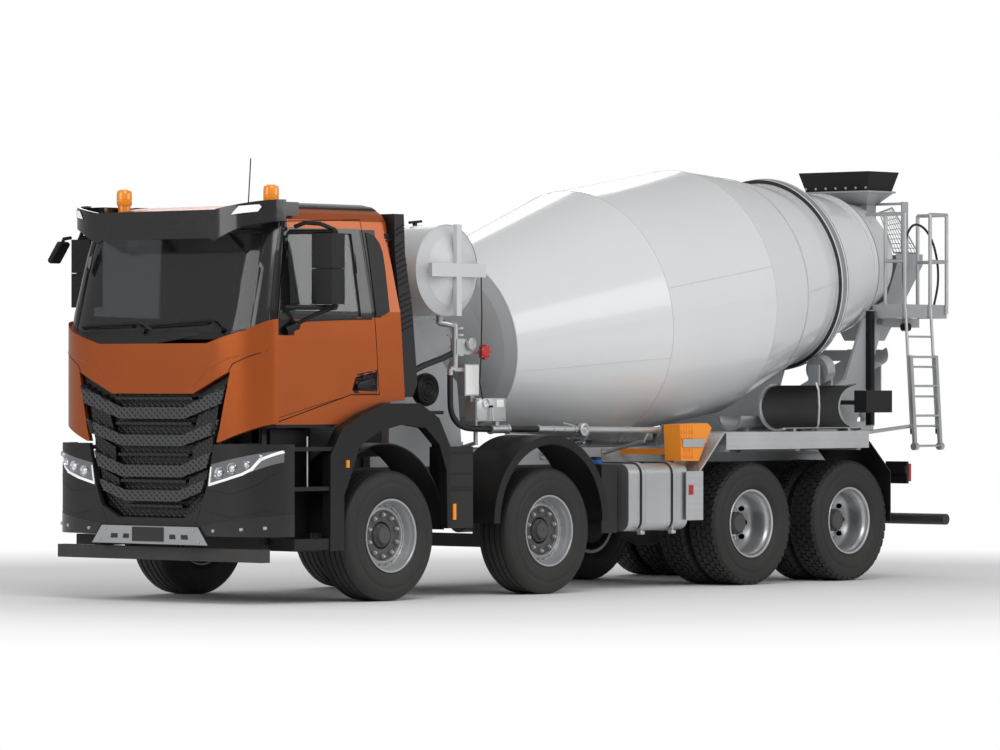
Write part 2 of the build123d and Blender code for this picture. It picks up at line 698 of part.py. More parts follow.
# Windscreen
with BuildPart() as windscreen:
    add(cab_body(12.0))
    add(cab_body(12.0 + glass_thickness), mode=Mode.SUBTRACT)
    front_prism(windscreen_outline, -seat_gap, at(-1500.0), at(-1000.0), Mode.INTERSECT)
save(windscreen.part, "windscreen")

# Doors with their windows
for side_name, side in sides.items():
    with BuildPart() as door:
        add(cab_outer)
        add(cab_inner, mode=Mode.SUBTRACT)
        side_prism(door_outline, 0.0, side, Mode.INTERSECT)
        with BuildPart(mode=Mode.PRIVATE) as rebate:
            add(cab_skin_inner)
            side_prism(door_outline, -door_skin, side, Mode.SUBTRACT)
        add(rebate.part, mode=Mode.SUBTRACT)
        side_prism(door_window, 0.0, side, Mode.SUBTRACT)
        with BuildSketch(Plane.YZ.offset(side * (cab_half_width - 25.0))) as recess:
            with BuildLine():
                Polyline(
                    (at(-365.0), 1695.0), (at(-75.0), 1685.0), (at(-75.0), 1845.0), (at(-325.0), 1800.0), close=True
                )
            make_face()
        extrude(recess.sketch, amount=side * 60.0, mode=Mode.SUBTRACT)
        low_x, high_x = sorted((side * (cab_half_width - 30.0), side * (cab_half_width - 2.0)))
        slab((low_x, at(-310.0), 1740.0), (high_x, at(-95.0), 1765.0))
    save(door.part, f"door_{side_name}")

    with BuildPart() as door_glass:
        add(cab_body(12.0))
        add(cab_body(12.0 + glass_thickness), mode=Mode.SUBTRACT)
        side_prism(door_window, -seat_gap, side, Mode.INTERSECT)
    save(door_glass.part, f"door_glass_{side_name}")

    with BuildPart() as mirror:
        low_x, high_x = sorted((side * 1262.0, side * 1480.0))
        slab((low_x, at(-950.0), 2660.0), (high_x, at(-800.0), 2935.0))
        slab((low_x, at(-950.0), 2375.0), (high_x, at(-800.0), 2655.0))
        slab((low_x + 40.0, at(-930.0), 2640.0), (high_x - 40.0, at(-830.0), 2670.0))
        for arm_z, root_x, root_y in ((2950.0, 1050.0, -1010.0), (2350.0, 1120.0, -1130.0)):
            bar((side * root_x, at(root_y), arm_z), (side * 1370.0, at(-875.0), arm_z), 20.0)
        bar((side * 1455.0, at(-875.0), 2350.0), (side * 1455.0, at(-875.0), 2950.0), 20.0)
        bar((side * 1370.0, at(-875.0), 2350.0), (side * 1455.0, at(-875.0), 2350.0), 20.0)
        bar((side * 1370.0, at(-875.0), 2950.0), (side * 1455.0, at(-875.0), 2950.0), 20.0)
        add(cab_seat, mode=Mode.SUBTRACT)
    save(mirror.part, f"mirror_{side_name}")

# Seats, dashboard and steering wheel
floor_z = cab_floor_z + cab_wall + seat_gap
with BuildPart() as cab_interior:
    for side in (1, -1):
        low_x, high_x = sorted((side * 320.0, side * 840.0))
        slab((low_x + 60.0, at(-480.0), 1450.0), (high_x - 60.0, at(-120.0), 1960.0))
        slab((low_x, at(-560.0), 1950.0), (high_x, at(-60.0), 2090.0))
        slab((low_x + 20.0, at(-130.0), 2050.0), (high_x - 20.0, at(-20.0), 2720.0))
        slab((low_x + 120.0, at(-110.0), 2715.0), (high_x - 120.0, at(-30.0), 2880.0))
    slab((-1000.0, at(-1230.0), 1900.0), (1000.0, at(-960.0), 2110.0))
    slab((-150.0, at(-1230.0), floor_z), (150.0, at(-1000.0), 1905.0))
    bar((580.0, at(-1000.0), 2000.0), (580.0, at(-800.0), 2140.0), 30.0)
    with Locations(Plane(origin=(580.0, at(-790.0), 2147.0), z_dir=(0, 0.2, 0.14))):
        Torus(215.0, 16.0)
        Cylinder(60.0, 30.0)
        Box(420.0, 40.0, 16.0)
        Box(40.0, 420.0, 16.0)
    add(cab_body(cab_wall + seat_gap), mode=Mode.INTERSECT)
save(cab_interior.part, "cab_interior")

# Sun visor with its end caps and stays, and the aerial
visor_front = at(-1440.0)
visor_half = 1120.0
visor_wall = 25.0
with BuildPart() as sun_visor:
    for shrink, mode in ((0.0, Mode.ADD), (visor_wall, Mode.SUBTRACT)):
        strip = rounded_front(
            2860.0, visor_half - shrink, visor_front + shrink, at(-1092.0) + shrink, 420.0 - shrink, 330.0 - shrink
        )
        extrude(strip, amount=360.0, mode=mode)
    front_prism(
        [
            (-1130.0, 3035.0), (-900.0, 2980.0), (-660.0, 2875.0), (-610.0, 2900.0), (610.0, 2900.0), (660.0, 2875.0),
            (900.0, 2980.0), (1130.0, 3035.0), (1130.0, 3205.0), (660.0, 3125.0), (-660.0, 3125.0), (-1130.0, 3205.0),
        ],
        0.0,
        at(-1500.0),
        at(-1092.0),
        Mode.INTERSECT,
    )
    for side in (1, -1):
        low_x, high_x = sorted((side * 900.0, side * visor_half))
        slab((low_x, at(-1130.0), 3075.0), (high_x, at(-950.0), 3185.0))
        low_x, high_x = sorted((side * 380.0, side * 420.0))
        slab((low_x, visor_front + 20.0, 3060.0), (high_x, at(-1000.0), 3085.0))
    bar((510.0, at(-900.0), 3150.0), (530.0, at(-890.0), 3550.0), 5.0)
    add(cab_seat, mode=Mode.SUBTRACT)
save(sun_visor.part, "sun_visor")

# Nose: orange front panel with the pocket for the grille
grille_outline = [
    (-370.0, 685.0), (370.0, 685.0), (560.0, 780.0), (620.0, 930.0), (690.0, 1200.0), (750.0, 1400.0),
    (850.0, 1840.0), (460.0, 1665.0), (-460.0, 1665.0), (-850.0, 1840.0), (-750.0, 1400.0), (-690.0, 1200.0),
    (-620.0, 930.0), (-560.0, 780.0),
]
with BuildPart() as front_panel:
    for shrink, mode in ((0.0, Mode.ADD), (40.0, Mode.SUBTRACT)):
        nose = rounded_front(
            1285.0, 1160.0 - shrink, at(-1470.0) + shrink, at(-1222.0) + shrink, 470.0 - shrink, 246.0 - shrink
        )
        extrude(nose, amount=1000.0, mode=mode)
    front_prism(
        [
            (-750.0, 1285.0), (750.0, 1285.0), (1170.0, 1437.0), (1170.0, 2262.0), (980.0, 2170.0), (606.0, 2068.0),
            (-606.0, 2068.0), (-980.0, 2170.0), (-1170.0, 2262.0), (-1170.0, 1437.0),
        ],
        0.0,
        at(-1500.0),
        at(-1222.0),
        Mode.INTERSECT,
    )
    front_prism(grille_outline, 4.0, at(-1500.0), at(-1300.0), Mode.SUBTRACT)
    add(cab_seat, mode=Mode.SUBTRACT)
save(front_panel.part, "front_panel")

# Grille: back plate, side trims, four V-shaped bands and the slats between them
with BuildPart() as grille:
    front_prism(grille_outline, 0.0, at(-1405.0), at(-1380.0), Mode.ADD)
    for out_x, in_x, out_top, out_bottom, in_top, in_bottom in (
        (822.0, 360.0, 1734.0, 1591.0, 1561.0, 1468.0),
        (752.0, 345.0, 1466.0, 1352.0, 1340.0, 1253.0),
        (660.0, 330.0, 1208.0, 1083.0, 1099.0, 1003.0),
        (600.0, 300.0, 987.0, 891.0, 897.0, 810.0),
    ):
        plate_xz(
            [
                (-out_x, out_top), (-in_x, in_top), (in_x, in_top), (out_x, out_top),
                (out_x - 45.0, out_bottom), (in_x, in_bottom), (-in_x, in_bottom), (-out_x + 45.0, out_bottom),
            ],
            at(-1478.0),
            at(-1400.0),
        )
    for slat_z, half in ((1620.0, 440.0), (1420.0, 430.0), (1170.0, 400.0), (960.0, 370.0), (760.0, 330.0)):
        slab((-half, at(-1460.0), slat_z), (half, at(-1400.0), slat_z + 22.0))
    for side in (1, -1):
        for points in (
            ((500.0, 1500.0), (730.0, 1600.0), (700.0, 1440.0), (450.0, 1350.0)),
            ((440.0, 1240.0), (670.0, 1340.0), (655.0, 1210.0), (430.0, 1120.0)),
            ((400.0, 990.0), (610.0, 1070.0), (590.0, 990.0), (380.0, 900.0)),
        ):
            plate_xz([(side * px, pz) for px, pz in points], at(-1450.0), at(-1400.0))
    slab((-60.0, at(-1382.0), 1440.0), (60.0, at(-1300.0) - seat_gap, 1520.0))
save(grille.part, "grille")

# Bumper with the skid plate, and the headlamps in its pockets
bumper_half = 1250.0
headlamp_outline = [(640.0, 930.0), (950.0, 1010.0), (1240.0, 1130.0), (1240.0, 1225.0), (670.0, 1110.0)]


def bumper_body(inset):
    """Returns the bumper's outer form, drawn in by so much, from its underside up."""
    outline = rounded_front(
        540.0, bumper_half - inset, at(-1485.0) + inset, at(-1130.0), 480.0 - inset, 320.0 - inset
    )
    with BuildPart() as body:
        extrude(outline, amount=730.0)
    return body.part


with BuildPart() as bumper:
    add(bumper_body(0.0))
    add(bumper_body(40.0), mode=Mode.SUBTRACT)
    front_prism(
        [
            (-374.0, 680.0), (374.0, 680.0), (565.0, 776.0), (625.0, 926.0), (712.0, 1280.0), (-712.0, 1280.0),
            (-625.0, 926.0), (-565.0, 776.0),
        ],
        0.0,
        at(-1500.0),
        at(-1300.0),
        Mode.SUBTRACT,
    )
    for side in (1, -1):
        front_prism([(side * px, pz) for px, pz in headlamp_outline], 0.0, at(-1500.0), at(-1120.0), Mode.SUBTRACT)
        low_x, high_x = sorted((side * 350.0, side * 420.0))
        slab((low_x, at(-1450.0), 560.0), (high_x, at(-1360.0) - seat_gap, 670.0))
    plate_xz([(-548.0, 615.0), (548.0, 615.0), (661.0, 466.0), (-661.0, 466.0)], at(-1500.0), at(-1480.0))
save(bumper.part, "bumper")

with BuildPart() as headlamps:
    for side in (1, -1):
        with BuildPart(mode=Mode.PRIVATE) as lamp:
            add(bumper_body(4.0))
            add(bumper_body(70.0), mode=Mode.SUBTRACT)
            front_prism(
                [(side * px, pz) for px, pz in headlamp_outline], -seat_gap, at(-1500.0), at(-1140.0), Mode.INTERSECT
            )
        add(lamp.part)
save(headlamps.part, "headlamps")

# Front wheel arches with the cab steps, mudguards of the second axle and rear flaps
arch_outer = [
    (-720.0, 420.0), (-720.0, 1180.0), (-580.0, 1392.0), (-352.0, 1497.0), (-40.0, 1588.0), (330.0, 1590.0),
    (560.0, 1470.0), (690.0, 1250.0), (700.0, 600.0),
]
arch_inner = [
    (660.0, 600.0), (650.0, 1040.0), (560.0, 1260.0), (400.0, 1390.0), (133.0, 1422.0), (-153.0, 1366.0),
    (-380.0, 1250.0), (-490.0, 1000.0), (-560.0, 860.0), (-560.0, 420.0),
]
liner_radius = 700.0
fender_radius = 720.0
fender_lip = 75.0
fender_y = at(1950.0)
fender_z = 600.0


def arch_band(centre_y, centre_z, outer_radius, thickness, x_from, x_to):
    """Adds the upper half of a ring about a level axis, between two X places, to the open part."""
    with BuildSketch(Plane.YZ.offset(x_from)) as ring:
        with Locations((centre_y, centre_z)):
            Circle(outer_radius)
            Circle(outer_radius - thickness, mode=Mode.SUBTRACT)
        with Locations((centre_y, centre_z - outer_radius)):
            Rectangle(2 * outer_radius + 10.0, 2 * outer_radius, mode=Mode.SUBTRACT)
    extrude(ring.sketch, amount=x_to - x_from)


with BuildPart() as mudguards:
    for side in (1, -1):
        low_x, high_x = sorted((side * 1160.0, side * 1250.0))
        plate_yz([(at(py), pz) for py, pz in arch_outer + arch_inner], low_x, high_x)
        low_x, high_x = sorted((side * 760.0, side * 1165.0))
        arch_band(axle_y[0], 560.0, liner_radius + 12.0, 12.0, low_x, high_x)
        low_x, high_x = sorted((side * 950.0, side * 970.0))
        slab((low_x, at(-1120.0), 430.0), (high_x, at(-660.0), 1380.0))
        for tread_z, depth in ((1215.0, 32.0), (900.0, 32.0), (430.0, 90.0)):
            low_x, high_x = sorted((side * 960.0, side * 1240.0))
            slab((low_x, at(-1120.0), tread_z), (high_x, at(-680.0), tread_z + depth))
        low_x, high_x = sorted((side * (frame_half_width + seat_gap), side * 960.0))
        slab((low_x, at(-1000.0), 780.0), (high_x, at(-940.0), 840.0))
        low_x, high_x = sorted((side * 760.0, side * 1250.0))
        arch_band(fender_y, fender_z, fender_radius, 8.0, low_x, high_x)
        low_x, high_x = sorted((side * 1225.0, side * 1250.0))
        arch_band(fender_y, fender_z, fender_radius, fender_lip, low_x, high_x)
        low_x, high_x = sorted((side * (frame_half_width + seat_gap), side * 780.0))
        slab((low_x, at(1930.0), 1100.0), (high_x, at(1970.0), 1150.0))
        low_x, high_x = sorted((side * 762.0, side * 780.0))
        slab((low_x, at(1930.0), 1100.0), (high_x, at(1970.0), fender_z + fender_radius - 4.0))
        low_x, high_x = sorted((side * 600.0, side * 1250.0))
        plate_yz(
            [
                (at(6260.0), 1240.0), (at(6570.0), 965.0), (at(6570.0), 520.0), (at(6560.0), 520.0),
                (at(6560.0), 960.0), (at(6260.0), 1226.0),
            ],
            low_x,
            high_x,
        )
        low_x, high_x = sorted((side * (frame_half_width + seat_gap), side * 610.0))
        slab((low_x, at(6520.0), 890.0), (high_x, at(6568.0), 940.0))
        low_x, high_x = sorted((side * (frame_half_width + seat_gap), side * 1200.0))
        slab((low_x, at(6850.0), 940.0), (high_x, at(6890.0), 1010.0))
        low_x, high_x = sorted((side * 960.0, side * 1200.0))
        slab((low_x, at(6870.0), 850.0), (high_x, at(6900.0), 1050.0))
save(mudguards.part, "mudguards")

# Beacons, side markers and tail lamps
with BuildPart() as lamps:
    for side in (1, -1):
        with Locations((side * 835.0, at(-970.0), 3130.0)):
            Cylinder(52.0, 95.0, align=(Align.CENTER, Align.CENTER, Align.MIN))
        with Locations((side * 835.0, at(-970.0), 3220.0)):
            Cylinder(42.0, 110.0, align=(Align.CENTER, Align.CENTER, Align.MIN))
        low_x, high_x = sorted((side * (1250.0 + seat_gap), side * 1262.0))
        slab((low_x, at(-545.0), 1080.0), (high_x, at(-510.0), 1140.0))
        low_x, high_x = sorted((side * 980.0, side * 1190.0))
        slab((low_x, at(6900.0) + seat_gap, 870.0), (high_x, at(6950.0), 1030.0))
    add(cab_seat, mode=Mode.SUBTRACT)
save(lamps.part, "lamps")

# Air intake behind the cab
with BuildPart() as snorkel:
    plate_yz(
        [
            (at(150.0), 3120.0), (at(160.0), 2800.0), (at(222.0), 2330.0), (at(262.0), 1720.0), (at(290.0), 1640.0),
            (at(370.0), 1640.0), (at(430.0), 1750.0), (at(370.0), 2330.0), (at(280.0), 2800.0), (at(265.0), 3120.0),
        ],
        930.0,
        1130.0,
    )
    slab((980.0, at(90.0), 2500.0), (1080.0, at(200.0), 2560.0))
    slab((980.0, at(90.0), 2900.0), (1080.0, at(200.0), 2960.0))
    add(cab_seat, mode=Mode.SUBTRACT)
save(snorkel.part, "snorkel")

# Boxes and small tanks along the chassis, and the grey box by the rear pedestal
with BuildPart() as side_boxes:
    for side in (1, -1):
        low_x, high_x = sorted((side * 1000.0, side * 1200.0))
        slab((low_x, at(715.0), 570.0), (high_x, at(1025.0), 1235.0))
        low_x, high_x = sorted((side * (frame_half_width + seat_gap), side * 1005.0))
        slab((low_x, at(880.0), 880.0), (high_x, at(940.0), 940.0))
    slab((760.0, at(2700.0), 490.0), (1150.0, at(2900.0), 1065.0))
    bar((1000.0, at(2800.0), 1060.0), (1000.0, at(2800.0), 1130.0), 45.0)
    slab((frame_half_width + seat_gap, at(2740.0), 880.0), (765.0, at(2800.0), 940.0))
    slab((-1220.0, at(2700.0), 500.0), (-640.0, at(3300.0), 1060.0))
    slab((-645.0, at(2900.0), 880.0), (-frame_half_width - seat_gap, at(3000.0), 940.0))
    for tank_x, low_z in ((-1060.0, 820.0), (-1060.0, 560.0)):
        bar((tank_x, at(3340.0), low_z), (tank_x, at(3900.0), low_z), 120.0)
    slab((-1080.0, at(3590.0), 550.0), (-1040.0, at(3630.0), 830.0))
    slab((-1060.0, at(3590.0), 880.0), (-frame_half_width - seat_gap, at(3650.0), 920.0))
    slab((780.0, at(6640.0), 1490.0), (920.0, at(7020.0), 1690.0))
    slab((pedestal_x + pedestal_wall / 2 + seat_gap, at(6700.0), 1560.0), (785.0, at(6740.0), 1600.0))
save(side_boxes.part, "side_boxes")

# Fuel tank with its straps
with BuildPart() as fuel_tank:
    with BuildSketch(Plane.XZ.offset(-at(2970.0))) as tank_outline:
        with Locations((930.0, 785.0)):
            RectangleRounded(580.0, 570.0, 90.0)
    extrude(tank_outline.sketch, amount=-775.0)
    for strap_y in (3130.0, 3540.0):
        with BuildSketch(Plane.XZ.offset(-at(strap_y))) as strap:
            with Locations((930.0, 785.0)):
                RectangleRounded(592.0, 582.0, 96.0)
        extrude(strap.sketch, amount=-50.0)
        slab((frame_half_width + seat_gap, at(strap_y), 800.0), (650.0, at(strap_y + 50.0), 900.0))
save(fuel_tank.part, "fuel_tank")

# Water pipework with its control box, along the left side
pipe_x = 950.0
with BuildPart() as water_pipework:
    bar((850.0, tank_y, tank_z - tank_radius - seat_gap), (850.0, tank_y, 2240.0), 30.0)
    bar((845.0, tank_y - 5.0, 2255.0), (pipe_x + 5.0, at(1085.0), 2225.0), 28.0)
    bar((pipe_x, at(1080.0), 2240.0), (pipe_x, at(1080.0), 1860.0), 25.0)
    slab((pipe_x - 40.0, at(1070.0), 1990.0), (pipe_x + 30.0, at(1300.0), 2120.0))
    bar((pipe_x + 25.0, at(1228.0), 2075.0), (pipe_x + 60.0, at(1228.0), 2075.0), 42.0)
    bar((pipe_x - 20.0, at(1290.0), 2012.0), (pipe_x - 20.0, at(1364.0), 2012.0), 18.0)
    bar((pipe_x - 25.0, at(1364.0), 2012.0), (pipe_x + 60.0, at(1364.0), 2012.0), 15.0)
    bar((pipe_x + 40.0, at(1364.0), 2012.0), (pipe_x + 60.0, at(1364.0), 2012.0), 52.0)
    slab((pipe_x - 30.0, at(1060.0), 1850.0), (pipe_x + 20.0, at(1180.0), 1880.0))
    slab((pipe_x - 30.0, at(1154.0), 1650.0), (pipe_x + 40.0, at(1327.0), 1910.0))
    slab((pipe_x - 20.0, at(1260.0), 1600.0), (pipe_x + 10.0, at(1310.0), 1660.0))
    slab((pipe_x - 70.0, at(1280.0), 1440.0), (pipe_x + 50.0, at(1650.0), 1630.0))
    slab((pipe_x - 20.0, at(1560.0), 1370.0), (pipe_x + 20.0, at(1600.0), 1445.0))
    bar((pipe_x, at(1513.0), 1372.0), (pipe_x, at(1737.0), 1372.0), 35.0)
    bar((pipe_x, at(1730.0), 1372.0), (pipe_x, at(2110.0), 1370.0), 24.0)
    bar((pipe_x, at(2100.0), 1370.0), (pipe_x, at(3700.0), 1350.0), 26.0)
    bar((pipe_x, at(2660.0), 1363.0), (pipe_x, at(2695.0), 1363.0), 52.0)
    bar((pipe_x, at(1010.0), 1870.0), (pipe_x, at(1080.0), 1870.0), 22.0)
    bar((pipe_x, at(1020.0), 1870.0), (pipe_x, at(1020.0), 1820.0), 25.0)
    for post_y in (1400.0, 2760.0, 3560.0):
        slab(
            (frame_half_width + seat_gap, at(post_y) - 25.0, 1110.0),
            (frame_half_width + 15.0, at(post_y) + 25.0, 1190.0),
        )
        bar((frame_half_width + 8.0, at(post_y), 1150.0), (pipe_x - 50.0, at(post_y), 1260.0), 16.0)
    bar((pipe_x - 60.0, at(1400.0), 1240.0), (pipe_x - 60.0, at(1400.0), 1450.0), 18.0)
    for post_y in (2760.0, 3560.0):
        bar((pipe_x - 65.0, at(post_y), 1255.0), (pipe_x, at(post_y), 1345.0), 16.0)
save(water_pipework.part, "water_pipework")

# Loading hopper above the drum's mouth, with its rubber guard
hopper_wall = 6.0
hopper_rim = (760.0, at(7360.0), at(7760.0), 3520.0)
hopper_throat = (390.0, at(7580.0), at(7720.0), 3400.0)
duct_bottom_z = 3050.0
funnel_top_z = 2950.0


def level_rectangle(width, y_from, y_to, height, shrink=0.0):
    """Returns a level rectangle centred on the middle of the truck, drawn in by so much."""
    with BuildSketch(Plane.XY.offset(height)) as outline:
        with Locations((0, (y_from + y_to) / 2)):
            Rectangle(width - 2 * shrink, y_to - y_from - 2 * shrink)
    return outline.sketch


with BuildPart() as hopper:
    loft([level_rectangle(*hopper_rim), level_rectangle(*hopper_throat)], ruled=True)
    extrude(level_rectangle(*hopper_throat), amount=duct_bottom_z - hopper_throat[3])
    with BuildPart(mode=Mode.PRIVATE) as hopper_inside:
        loft([level_rectangle(*hopper_rim, hopper_wall), level_rectangle(*hopper_throat, hopper_wall)], ruled=True)
        extrude(level_rectangle(*hopper_throat, hopper_wall), amount=duct_bottom_z - hopper_throat[3] - 10.0)
    add(hopper_inside.part, mode=Mode.SUBTRACT)
    for side in (1, -1):
        low_x, high_x = sorted((side * 192.0, side * 515.0))
        slab((low_x, at(7700.0), 3400.0), (high_x, at(7740.0), 3424.0))
        low_x, high_x = sorted((side * 500.0, side * 517.0))
        slab((low_x, at(7700.0), funnel_top_z + seat_gap), (high_x, at(7790.0), 3430.0))
save(hopper.part, "hopper")

guard_wall = 12.0
guard_top = 3705.0
with BuildPart() as hopper_guard:
    guard_low = (hopper_rim[0] - 40.0, hopper_rim[1] + 20.0, hopper_rim[2] - 20.0, hopper_rim[3] + seat_gap)
    guard_high = (hopper_rim[0] + 60.0, hopper_rim[1] - 30.0, hopper_rim[2] + 30.0, guard_top)
    loft([level_rectangle(*guard_low), level_rectangle(*guard_high)], ruled=True)
    with BuildPart(mode=Mode.PRIVATE) as guard_inside:
        loft([level_rectangle(*guard_low, guard_wall), level_rectangle(*guard_high, guard_wall)], ruled=True)
    add(guard_inside.part, mode=Mode.SUBTRACT)
    rim_outline = level_rectangle(*hopper_rim[:3], hopper_rim[3] + seat_gap)
    extrude(rim_outline, amount=8.0)
    extrude(level_rectangle(*guard_low, guard_wall), amount=20.0, mode=Mode.SUBTRACT)
save(hopper_guard.part, "hopper_guard")

# Discharge funnel under the drum's mouth, carried on the rear pedestal's arms
funnel_wall = 6.0
funnel_top = (1000.0, at(7540.0), rear_end_y, funnel_top_z)
funnel_collar_z = 2850.0
funnel_bottom = (300.0, at(7690.0), at(7910.0), 2150.0)
mouth_clearance = 30.0
with BuildPart() as discharge_funnel:
    for shrink, mode in ((0.0, Mode.ADD), (funnel_wall, Mode.SUBTRACT)):
        with BuildPart(mode=Mode.PRIVATE) as funnel_body:
            extrude(level_rectangle(*funnel_top, shrink), amount=funnel_collar_z - funnel_top_z)
            loft(
                [
                    level_rectangle(*funnel_top[:3], funnel_collar_z, shrink),
                    level_rectangle(*funnel_bottom, shrink),
                ],
                ruled=True,
            )
        add(funnel_body.part, mode=mode)
    bar(
        tuple(on_drum_axis(neck_station + 100.0)),
        tuple(on_drum_axis(mouth_station + 60.0)),
        mouth_radius + mouth_clearance,
        Mode.SUBTRACT,
    )
    for side in (1, -1):
        low_x, high_x = sorted((side * 230.0, side * (pedestal_x - pedestal_wall / 2 - seat_gap)))
        slab((low_x, at(7890.0), 2280.0), (high_x, at(7940.0), 2340.0))
    with BuildPart(mode=Mode.PRIVATE) as funnel_inside:
        extrude(level_rectangle(*funnel_top, funnel_wall), amount=funnel_collar_z - funnel_top_z)
        loft(
            [
                level_rectangle(*funnel_top[:3], funnel_collar_z, funnel_wall),
                level_rectangle(*funnel_bottom, funnel_wall),
            ],
            ruled=True,
        )
    add(funnel_inside.part, mode=Mode.SUBTRACT)
with BuildPart() as rear_frame:
    add(mixer_frame.part)
    add(discharge_funnel.part)
save(rear_frame.part, "mixer_frame")

# Chute swivel on its column, and the swing chute parked towards the right side
chute_hinge_z = 2030.0
chute_radius = 172.0
chute_wall = 6.0
chute_slope = 25.0
chute_tail = 140.0
chute_nose = 960.0
ear_inner = 186.0
ear_outer = 200.0
hinge_pin_radius = 12.0
with BuildPart() as chute_swivel:
    with BuildSketch(Plane.XY.offset(1440.0)) as sleeve:
        with Locations((0, chute_pivot_y)):
            Circle(62.0)
            Circle(chute_column_radius + shaft_fit, mode=Mode.SUBTRACT)
    extrude(sleeve.sketch, amount=240.0)
    with BuildPart(mode=Mode.PRIVATE) as yoke:
        slab((-45.0, chute_pivot_y - ear_outer, 1560.0), (45.0, chute_pivot_y + ear_outer, 1600.0))
        with Locations((0, chute_pivot_y, 1580.0)):
            Cylinder(61.0, 60.0, mode=Mode.SUBTRACT)
    add(yoke.part)
    for sign in (1, -1):
        low_y, high_y = sorted((chute_pivot_y + sign * ear_inner, chute_pivot_y + sign * ear_outer))
        slab((-45.0, low_y, 1560.0), (45.0, high_y, chute_hinge_z + 40.0))
        bar(
            (0, chute_pivot_y + sign * ear_outer, chute_hinge_z),
            (0, chute_pivot_y + sign * (chute_radius - 22.0), chute_hinge_z),
            hinge_pin_radius,
        )
save(chute_swivel.part, "chute_swivel")

chute_plane = Plane(
    origin=(0, chute_pivot_y, chute_hinge_z),
    x_dir=(0, 1, 0),
    z_dir=(-cos(radians(chute_slope)), 0, -sin(radians(chute_slope))),
)
with BuildPart() as swing_chute:
    with BuildSketch(chute_plane.offset(-chute_tail)) as trough:
        Circle(chute_radius)
        Circle(chute_radius - chute_wall, mode=Mode.SUBTRACT)
        with Locations((0, -chute_radius)):
            Rectangle(2 * chute_radius + 10.0, 2 * chute_radius, mode=Mode.SUBTRACT)
    extrude(trough.sketch, amount=chute_tail + chute_nose)
    for sign in (1, -1):
        low_y, high_y = sorted(
            (chute_pivot_y + sign * (chute_radius - chute_wall), chute_pivot_y + sign * (chute_radius + 8.0))
        )
        with Locations(Plane(origin=(0, low_y, chute_hinge_z), z_dir=(0, 1, 0))):
            Cylinder(36.0, high_y - low_y, align=(Align.CENTER, Align.CENTER, Align.MIN))
            Cylinder(hinge_pin_radius + shaft_fit, 60.0, mode=Mode.SUBTRACT)
save(swing_chute.part, "swing_chute")

# Spare chutes stowed on the left walkway
stored_x = 1046.0
stored_z = 1545.0
stored_radius = 200.0
with BuildPart() as stored_chutes:
    for centre_x, centre_z, radius, y_from, y_to, turn in (
        (stored_x, stored_z, stored_radius, 5200.0, 6330.0, 110.0),
        (690.0, 1465.0, 118.0, 4980.0, 6100.0, 180.0),
    ):
        for grow, length_from, length_to in (
            (0.0, y_from, y_to), (14.0, y_from - 10.0, y_from + 22.0), (14.0, y_to - 22.0, y_to + 10.0),
        ):
            with BuildSketch(Plane.XZ.offset(-at(length_from))) as trough:
                with Locations(Location((centre_x, centre_z), turn)):
                    Circle(radius + grow)
                    Circle(radius - 6.0, mode=Mode.SUBTRACT)
                    with Locations((0, -radius * 1.5)):
                        Rectangle(3 * radius, 3 * radius, mode=Mode.SUBTRACT)
            extrude(trough.sketch, amount=length_from - length_to)
        for foot_y in (y_from + 150.0, y_to - 200.0):
            slab(
                (centre_x - 60.0, at(foot_y), walkway_top + seat_gap),
                (centre_x + 60.0, at(foot_y) + 40.0, centre_z - radius + 25.0),
            )
            with Locations((centre_x, at(foot_y) + 20.0, centre_z)):
                Cylinder(radius - 6.0, 60.0, rotation=(90, 0, 0), mode=Mode.SUBTRACT)
save(stored_chutes.part, "stored_chutes")

# Rear platform with its rails, the upper ladder and their stays
platform_z = 2430.0
platform_x = (560.0, 900.0)
platform_y = (at(7200.0), at(7870.0))
rail_z = 3300.0
mid_rail_z = 2870.0
rail_bar = 17.0
stile_y = (at(7220.0), at(7600.0))
ladder_foot = (1000.0, 1180.0)
ladder_head = (920.0, platform_z)
stile_radius = 14.0


def on_ladder(height, outwards=0.0):
    """Returns the X of the ladder's stiles at a height, so far outwards."""
    share = (height - ladder_foot[1]) / (ladder_head[1] - ladder_foot[1])
    return ladder_foot[0] + share * (ladder_head[0] - ladder_foot[0]) + outwards


